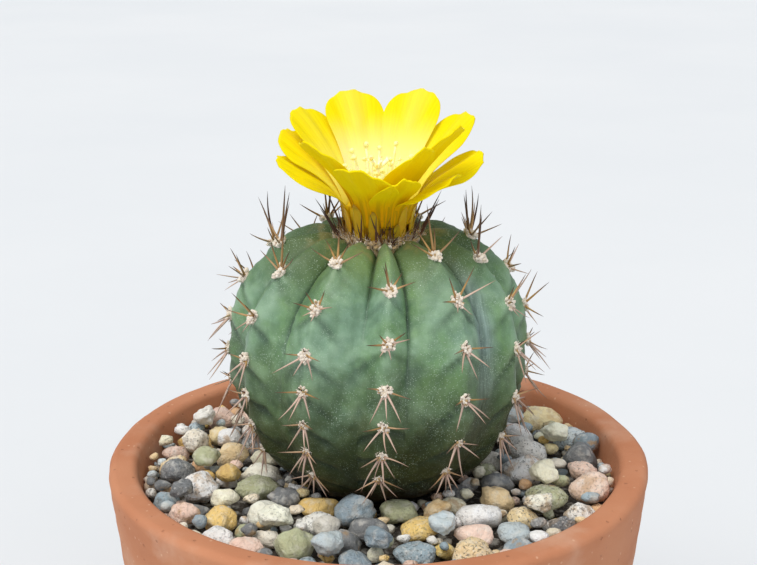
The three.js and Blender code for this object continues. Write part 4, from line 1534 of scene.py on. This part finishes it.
# %% Silky petals
def petal_material():
    material, tree, shader = start_material(
        "silky_petals", 0.6, Specular_IOR_Level=0.06, Subsurface_Weight=0.3,
        Subsurface_Scale=0.0012, Subsurface_Radius=(1.0, 0.9, 0.1), Emission_Strength=0.1,
    )
    across, along, inner = marks_of(tree)
    place = node(tree, "CombineXYZ", {0: across, 1: times(tree, along, 0.12)})
    veins = effect(tree, "mottle", place, Scale=26, Spread=0.22)
    yellow = mix(tree, veins, (0.8, 0.64, 0.001), (0.87, 0.71, 0.002))
    middle = maths(tree, "ABSOLUTE", maths(tree, "SUBTRACT", across, 0.5))
    streak = remap(tree, middle, 0.0, 0.3, 1.0, 0.0)
    streak = times(tree, streak, remap(tree, along, 0.3, 0.95, 0.5, 0.1))
    glow = remap(tree, along, 0.3, 0.85, 1.0, 0.0)
    streak = maths(tree, "MAXIMUM", streak, glow)
    # Painted glow, pale and near white, on the inner faces of the petals at the back.
    glow_share = node(tree, "Attribute", {}, "Alpha", attribute_name="marks")
    pale = times(tree, times(tree, inner, glow_share), streak)
    yellow = layer(tree, yellow, pale, 0.98, (0.97, 0.93, 0.56))
    # The outer face's deeper mustard is partly its own tone and partly painted shade on the shaded
    # undersides.
    back = maths(tree, "SUBTRACT", 1.0, inner)
    yellow = layer(tree, yellow, back, 0.6, (0.74, 0.52, 0.001))
    foot = times(tree, remap(tree, along, 0.1, 0.56, 1.0, 0.0), back)
    yellow = layer(tree, yellow, foot, 0.9, (0.66, 0.3, 0.001))
    broad = effect(tree, "mottle", place, Scale=7, Level=0.48, Spread=0.05)
    streaky = times(tree, times(tree, broad, foot), 0.8)
    yellow = mix(tree, streaky, yellow, (0.36, 0.24, 0.003))
    fine = effect(tree, "grit", place_of(tree), Scale=2200, Coarse=0.5)
    relief = maths(tree, "ADD", veins, times(tree, fine, 0.5))
    relief = bump(tree, relief, 0.08 * MM, 0.4)
    finish_material(tree, shader, Base_Color=yellow, Emission_Color=yellow, Normal=relief)
    return material


PETAL_FINISH = petal_material()
for index, (azimuth, *shape) in enumerate(PETALS):
    mesh = petal(math.radians(azimuth), *shape, np.random.default_rng(200 + index))
    finish_piece(f"flower_petal_{index + 1:02d}", mesh, PETAL_FINISH, "petals", f"petal_{index + 1:02d}")

# %% [markdown]
# ## Stamens and stigma
# Threads stand in rings inside the cup, each with a pollen head. A few taller and thicker ones,
# and the style with its star of lobes, rise above them. Threads are long needles, and the heads
# are blobs set on their tips. Like the petals, they have a weak painted glow, which stands in for
# the light that reaches into the cup.

# %% Pale threads with pollen heads
CUP_FLOOR = TUBE_TOP - 3.3 * MM - STEM_CENTRE
TALL_FOOT = 2.2
GOLDEN_ANGLE = 2.39996
THREAD_GIRTH = 0.19
HEAD_SIZE = (0.46, 0.52, 0.7)
TALL_GIRTH = 0.46
TALL_HEAD_SIZE = (0.66, 0.72, 0.74)
LOBES = 7


def pollen_material(name, thread, head, spot):
    """Pale threads with heads. The tone stored at a point tells thread from head."""
    # The weak glow is painted light, for the light that reaches into the shaded cup.
    material, tree, shader = start_material(
        name, 0.6, Specular_IOR_Level=0.3, Subsurface_Weight=0.2, Subsurface_Scale=0.001,
        Emission_Strength=0.13,
    )
    tone = marks_of(tree)[1]
    place = place_of(tree)
    dust = effect(tree, "specks", place, Scale=2600, Share=0.45, Size=0.4)
    heads = layer(tree, head, dust, 0.8, spot)
    threads = mix(tree, effect(tree, "mottle", place, Scale=900), thread, (1.0, 0.97, 0.7))
    colour = mix(tree, remap(tree, tone, 0.4, 0.6), threads, heads)
    relief = bump(tree, effect(tree, "grit", place, Scale=5000, Coarse=0.5), 0.08 * MM)
    finish_material(tree, shader, Base_Color=colour, Emission_Color=colour, Normal=relief)
    return material


# %% Threads
# Azimuth in degrees, then how far the tip is from the axis and up from the cup's floor, in
# millimetres.
TALL_THREADS = [
    (-100, 6.2, 16.0), (-128, 3.6, 17.2), (172, 1.6, 16.6), (118, 4.6, 17.4), (96, 7.6, 14.6),
    (-40, 2.6, 15.0),
]


def ring_threads(count, foot_radius, spread, rise, girth, head_size, rng):
    """Threads spread evenly round the cup, each value a (low, high) range."""
    azimuth = np.arange(count) * GOLDEN_ANGLE + rng.uniform(0, ABOUT_A_TURN)
    radius = rng.uniform(*foot_radius, count) * MM
    feet, outward, side = ring_axes(radius, CUP_FLOOR + 0 * azimuth, azimuth)
    lean = outward * rng.uniform(*spread, count)[:, None] + side * rng.normal(0, 0.5, (count, 1))
    tips = feet + (lean + rng.uniform(*rise, count)[:, None] * UP) * MM
    return threads_with_heads(feet, tips, outward, girth, head_size, rng)


def tall_threads(girth, head_size, rng):
    azimuth, reach, rise = np.array(TALL_THREADS).T
    radius = np.full(len(azimuth), TALL_FOOT * MM)
    feet, outward, _ = ring_axes(radius, CUP_FLOOR + 0 * azimuth, np.radians(azimuth))
    tips = feet + (outward * (reach[:, None] - TALL_FOOT) + rise[:, None] * UP) * MM
    return threads_with_heads(feet, tips, outward, girth, head_size, rng)


def threads_with_heads(feet, tips, outward, girth, head_size, rng):
    count = len(feet)
    bend = -outward * rng.uniform(0.0, 0.5, (count, 1)) * MM
    threads = needles(THREAD, feet, tips, girth * MM, bend, 0, rng)
    direction = unit(rng.normal(size=feet.shape) * [[1, 1, 0.5]])
    sizes = np.array(head_size) * MM * rng.uniform(0.85, 1.15, (count, 1))
    heads = blobs(TUFT, tips, direction, sizes, 1, rng, 0.08)
    return [threads, heads]


def even_thread(sides, rings):
    """A thread of even thickness: the needle's template with its radius put back to 1."""
    mesh = needle_template(sides, rings)
    points = points_of(mesh)
    points[:, :2] = unit(points[:, :2]) * (1 - 0.3 * points[:, 2:])
    set_points(mesh, points)
    return mesh


THREAD = even_thread(5, 5)
rng = np.random.default_rng(55)
outer = ring_threads(34, (3.0, 3.7), (2.2, 5.6), (8.0, 13.0), THREAD_GIRTH, HEAD_SIZE, rng)
middle = ring_threads(26, (2.2, 3.2), (0.2, 3.2), (9.0, 15.0), THREAD_GIRTH, HEAD_SIZE, rng)
tall = tall_threads(TALL_GIRTH, TALL_HEAD_SIZE, rng)
stamen_finish = pollen_material("stamens", (0.97, 0.92, 0.45), (0.97, 0.9, 0.4), (0.5, 0.22, 0.03))
finish_piece("flower_stamens", joined(outer + middle + tall), stamen_finish, "stamens", "stamens")


# %% Style and stigma
def stigma():
    rng = np.random.default_rng(56)
    top = TUBE_TOP + 9.5 * MM - STEM_CENTRE
    zero = np.zeros(1)
    foot = around(zero, zero + TUBE_TOP - 5.2 * MM - STEM_CENTRE, zero)
    column = needles(THREAD, foot, around(zero, zero + top, zero), 0.75 * MM, 0 * foot, 0, rng)
    turn = np.arange(LOBES) * 2 * math.pi / LOBES + 0.3
    feet, outward, _ = ring_axes(np.full(LOBES, 0.2 * MM), top - 0.4 * MM + 0 * turn, turn)
    tips = feet + (outward * 2.2 + 1.9 * UP) * MM
    lobes = needles(THREAD, feet, tips, 0.5 * MM, outward * 0.25 * MM, 1, rng)
    return joined([column, lobes])


stigma_finish = pollen_material("stigma", (0.93, 0.88, 0.5), (0.95, 0.92, 0.66), (0.9, 0.84, 0.4))
finish_piece("flower_stigma", stigma(), stigma_finish, "pistil", "pistil")

# %% [markdown]
# ## The gravel
# Stones can't be scattered without sinking into each other, so they are dropped. A height map
# holds the surface so far. Each new stone tries many places, rests on what lies under it, and
# keeps the lowest place. A second map holds the underside of the globe and of the loose pebbles,
# which no stone may cross. A bed under the stones closes the gaps, nearly black as painted shade
# for the deep gaps.

# %% Maps of the gravel's surface
CELL = 0.5 * MM
GRID_HALF = 120
OUT_OF_REACH = 1.0
BED_TOP = GRAVEL_TOP - 6.5 * MM
grid_line = np.arange(-GRID_HALF, GRID_HALF + 1) * CELL
grid_x, grid_y = np.meshgrid(grid_line, grid_line, indexing="ij")
grid_radius = np.hypot(grid_x, grid_y)


def inside_radius(height):
    """The pot's inner wall at a height."""
    share = (height - FLOOR_THICKNESS) / (POT_TOP - FLOOR_THICKNESS)
    return FLOOR_RADIUS + share * (RIM_INNER_RADIUS - FLOOR_RADIUS)


def globe_underside():
    """The height of the globe's underside over the grid, and far above it past the widest ring."""
    angles = np.linspace(math.pi / 2, ROOT_TOP_ANGLE, 400)
    radius, height = crest(angles)
    under = np.interp(grid_radius, radius[::-1], height[::-1] + STEM_CENTRE)
    return np.where(grid_radius < STEM_RADIUS, under - 0.4 * MM, OUT_OF_REACH)


def pebble_frames():
    boxes = [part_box(f"pebble_{index + 1:02d}") for index in range(16)]
    lows, highs = (np.array([list(box[end]) for box in boxes]) for end in (0, 1))
    return (lows + highs) / 2, (highs - lows) / 2


def footprint(x, y, half):
    """The cells under a stone, and how thick the stone is over each, as a share of its height."""
    i, j = int(round(x / CELL)) + GRID_HALF, int(round(y / CELL)) + GRID_HALF
    span = int(half[:2].max() / CELL) + 1
    window = (slice(i - span, i + span + 1), slice(j - span, j + span + 1))
    away = ((grid_x[window] - x) / half[0]) ** 2 + ((grid_y[window] - y) / half[1]) ** 2
    return window, np.sqrt(np.clip(1 - away, 0, 1)), away < 1


# %% Drop the stones
def lowest_rest(half, limit, tries, surface, ceiling, rng):
    """The lowest place where a stone can rest, out of a number of tries, or None."""
    best = None
    for _ in range(tries):
        radius = math.sqrt(rng.uniform(0.11, 0.98)) * (RIM_INNER_RADIUS - half[0])
        azimuth = rng.uniform(0, 2 * math.pi)
        x, y = radius * math.cos(azimuth), radius * math.sin(azimuth)
        window, dome, covered = footprint(x, y, half)
        rest = np.max((surface[window] + half[2] * dome)[covered])
        blocked = np.any((rest + half[2] * dome > ceiling[window]) & covered)
        fits = rest + half[2] <= limit and not blocked
        if fits and (best is None or rest < best[2]):
            best = (x, y, rest)
    return best


def drop_stones(groups, rng):
    """Places stones of each (count, smallest, largest, highest top, tries) group."""
    surface = np.where(grid_radius < inside_radius(GRAVEL_TOP) - 0.4 * MM, BED_TOP, OUT_OF_REACH)
    ceiling = globe_underside()
    for centre, half in zip(*pebble_frames()):
        window, dome, covered = footprint(centre[0], centre[1], half * 0.96)
        under = np.where(covered, centre[2] - half[2] * dome, OUT_OF_REACH)
        ceiling[window] = np.minimum(ceiling[window], under)
    centres, halves = [], []
    for count, smallest, largest, highest, tries in groups:
        limit = GRAVEL_TOP + highest * MM
        for _ in range(count):
            size = rng.uniform(smallest, largest) / 2 * MM
            half = size * rng.uniform([0.95, 0.82, 0.66], [1.15, 1.0, 0.86])
            best = lowest_rest(half, limit, tries, surface, ceiling, rng)
            if best:
                window, dome, covered = footprint(best[0], best[1], half)
                raised = np.where(covered, best[2] + half[2] * dome, 0)
                surface[window] = np.maximum(surface[window], raised)
                centres.append(best)
                halves.append(half)
    return np.array(centres), np.array(halves)


STONE_GROUPS = [
    (60, 9.5, 12.0, -3.0, 30), (150, 8.4, 11.6, 2.0, 44), (160, 5.8, 8.4, 1.4, 40),
    (240, 3.6, 5.6, 0.2, 40), (280, 2.0, 3.4, -0.8, 40),
]
stone_centres, stone_halves = drop_stones(STONE_GROUPS, np.random.default_rng(12))
print("stones dropped:", len(stone_centres))

# %% [markdown]
# ## Shape and colour of a stone
# River gravel is rounded but keeps flat faces where it split. Every direction out of a stone is
# cut back softly by a few random planes, then roughened a little. Cutting real blocks would do
# the same more slowly. Each stone takes its colour from a short list: creams, tans, ochre, clay
# red, rose, slate blues, greys, dark grey, olive and whites.

# %% Stone shapes
STONE_COLOURS = np.array([
    (0.92, 0.86, 0.74), (0.88, 0.68, 0.4), (0.86, 0.6, 0.22), (0.84, 0.53, 0.3), (0.36, 0.46, 0.52),
    (0.26, 0.33, 0.38), (0.66, 0.64, 0.58), (0.2, 0.21, 0.22), (0.46, 0.48, 0.3), (0.95, 0.94, 0.9),
    (0.92, 0.8, 0.62), (0.56, 0.64, 0.67), (0.92, 0.84, 0.66), (0.82, 0.6, 0.5), (0.95, 0.93, 0.88),
])


def stone_radii(directions, rng, faces=13):
    """How far a stone reaches in each direction, from 0 to 1, cut back by a few planes."""
    cuts = unit(rng.normal(size=(faces, 3)))
    depth = rng.uniform(0.62, 0.93, faces)
    sharpness = rng.uniform(16, 46)
    towards = np.clip(directions @ cuts.T, 0, 1) / depth
    flat = (1 + (towards**sharpness).sum(axis=1)) ** (-1 / sharpness)
    knobs = ripple(directions, rng.uniform(0.5, 1.1), seed=int(rng.integers(1e6)))
    return flat * (1 + rng.uniform(0.06, 0.15) * knobs)


def stones(source, centres, halves, rng):
    mesh = swarm(source, len(centres))
    directions = unit(points_of(source))
    points = np.empty((len(centres), len(directions), 3))
    for index, (centre, half) in enumerate(zip(centres, halves)):
        points[index] = centre + directions * stone_radii(directions, rng)[:, None] * half
    set_points(mesh, points)
    colour = STONE_COLOURS[rng.integers(0, len(STONE_COLOURS), len(centres))]
    colour = np.minimum(colour * rng.uniform(0.95, 1.3, (len(centres), 1)), 1)
    spread = np.repeat(colour, len(directions), axis=0)
    set_marks(mesh, "tint", *spread.T)
    chance = np.repeat(rng.random((len(centres), 2)), len(directions), axis=0)
    set_marks(mesh, "marks", chance[:, 0], chance[:, 1], np.ones(len(chance)))
    return mesh


def dark_gap_bed():
    """The painted-shade bed under the stones: a ring section that follows the globe's underside."""
    bottom = GRAVEL_TOP - GRAVEL_DEPTH
    wall = 0.6 * MM
    under = [(24.5, 84.4), (20, 84.2), (15, 81.9), (9, 80.6), (8, 79.9)]
    section = [
        (8 * MM, bottom),
        (inside_radius(bottom) - wall, bottom),
        (inside_radius(BED_TOP) - wall, BED_TOP),
        *[(radius * MM, min(height * MM, BED_TOP)) for radius, height in under],
    ]
    mesh = spun(section, 120, 1.6 * MM)
    points = points_of(mesh)
    on_top = points[:, 2] > BED_TOP - 0.1 * MM
    points[:, 2] += on_top * 0.35 * MM * ripple(points, 4 * MM, seed=9)
    set_points(mesh, points)
    # Nearly black: painted shade for the deep gaps between the stones.
    shade = np.full(len(points), 0.05)
    set_marks(mesh, "tint", shade, shade * 0.8, shade * 0.6)
    set_marks(mesh, "marks", shade, shade, shade)
    return mesh


print("stone colours:", len(STONE_COLOURS))

# %% [markdown]
# ## Finish of the stones
# Each stone's own colour is broken up by clouds and stains, dark and light mineral grains, and
# small pits. About a quarter of the stones are strongly grained, as granite is, and half are
# nearly plain, which the first stored number decides. The second one decides how rusty they are.

# %% Gravel colours
def stone_material():
    material, tree, shader = start_material("river_gravel", 0.7, Specular_IOR_Level=0.35)
    tint = node(tree, "Attribute", {}, "Color", attribute_name="tint")
    grained, stained, _ = marks_of(tree)
    place = place_of(tree)
    clouds = effect(tree, "mottle", place, Scale=330, Spread=0.2)
    stone = layer(tree, tint, clouds, 0.35, (0.7, 0.6, 0.48), "MULTIPLY")
    pale = effect(tree, "mottle", place, Scale=420, Level=0.58, Spread=0.1)
    stone = layer(tree, stone, pale, 0.4, (0.88, 0.84, 0.76))
    rust = effect(tree, "mottle", place, Scale=300, Level=0.56, Spread=0.07)
    rust = times(tree, rust, remap(tree, stained, 0.4, 0.9))
    stone = layer(tree, stone, rust, 0.65, (0.5, 0.29, 0.1))
    strength = remap(tree, grained, 0.5, 0.95, 0.12, 0.9)
    light = effect(tree, "mottle", place, Scale=1700, Level=0.6, Spread=0.05)
    stone = mix(tree, times(tree, times(tree, light, strength), 0.6), stone, (0.82, 0.8, 0.76))
    turned = node(tree, "Mapping", {"Vector": place, "Location": (3, 5, 7)})
    dark = effect(tree, "mottle", turned, Scale=1600, Level=0.6, Spread=0.04)
    dark = times(tree, dark, strength)
    stone = layer(tree, stone, dark, 0.7, (0.07, 0.065, 0.06))
    lumps = effect(tree, "grit", place, Scale=620, Coarse=0.6)
    rough = effect(tree, "grit", place, Scale=2300, Coarse=0.6)
    relief = maths(tree, "ADD", times(tree, lumps, 2.5), times(tree, rough, 1.5))
    relief = maths(tree, "SUBTRACT", relief, times(tree, dark, 0.35))
    finish_material(
        tree, shader,
        Base_Color=stone,
        Roughness=remap(tree, clouds, 0, 1, 0.6, 0.85),
        Normal=bump(tree, relief, 0.7 * MM, 0.9),
    )
    return material


GRAVEL_FINISH = stone_material()
rng = np.random.default_rng(23)
SMALL_STONE = template(bmesh.ops.create_icosphere, subdivisions=2, radius=1)
BIG_STONE = template(bmesh.ops.create_icosphere, subdivisions=3, radius=1)
tops = stone_centres[:, 2] + stone_halves[:, 2]
shown = (tops > GRAVEL_TOP - 2.2 * MM) & (stone_halves[:, 0] > 2.6 * MM)
dressing = [
    dark_gap_bed(),
    stones(BIG_STONE, stone_centres[shown], stone_halves[shown], rng),
    stones(SMALL_STONE, stone_centres[~shown], stone_halves[~shown], rng),
]
print("stones on top:", int(shown.sum()))
finish_piece("gravel_dressing", joined(dressing), GRAVEL_FINISH, "gravel", "gravel_layer")

# %% [markdown]
# ## Loose pebbles
# The largest stones lie loose on the gravel, and each is a piece of its own in the frame. The
# frame's boxes give their places and sizes, and the same cuts as before give their shapes.

# %% Loose pebbles
LOOSE_STONE = template(bmesh.ops.create_icosphere, subdivisions=4, radius=1)
for index, (centre, half) in enumerate(zip(*pebble_frames())):
    mesh = stones(LOOSE_STONE, centre[None], half[None] * 1.04, np.random.default_rng(300 + index))
    finish_piece(f"loose_stone_{index + 1:02d}", mesh, GRAVEL_FINISH, "pebbles", f"pebble_{index + 1:02d}")
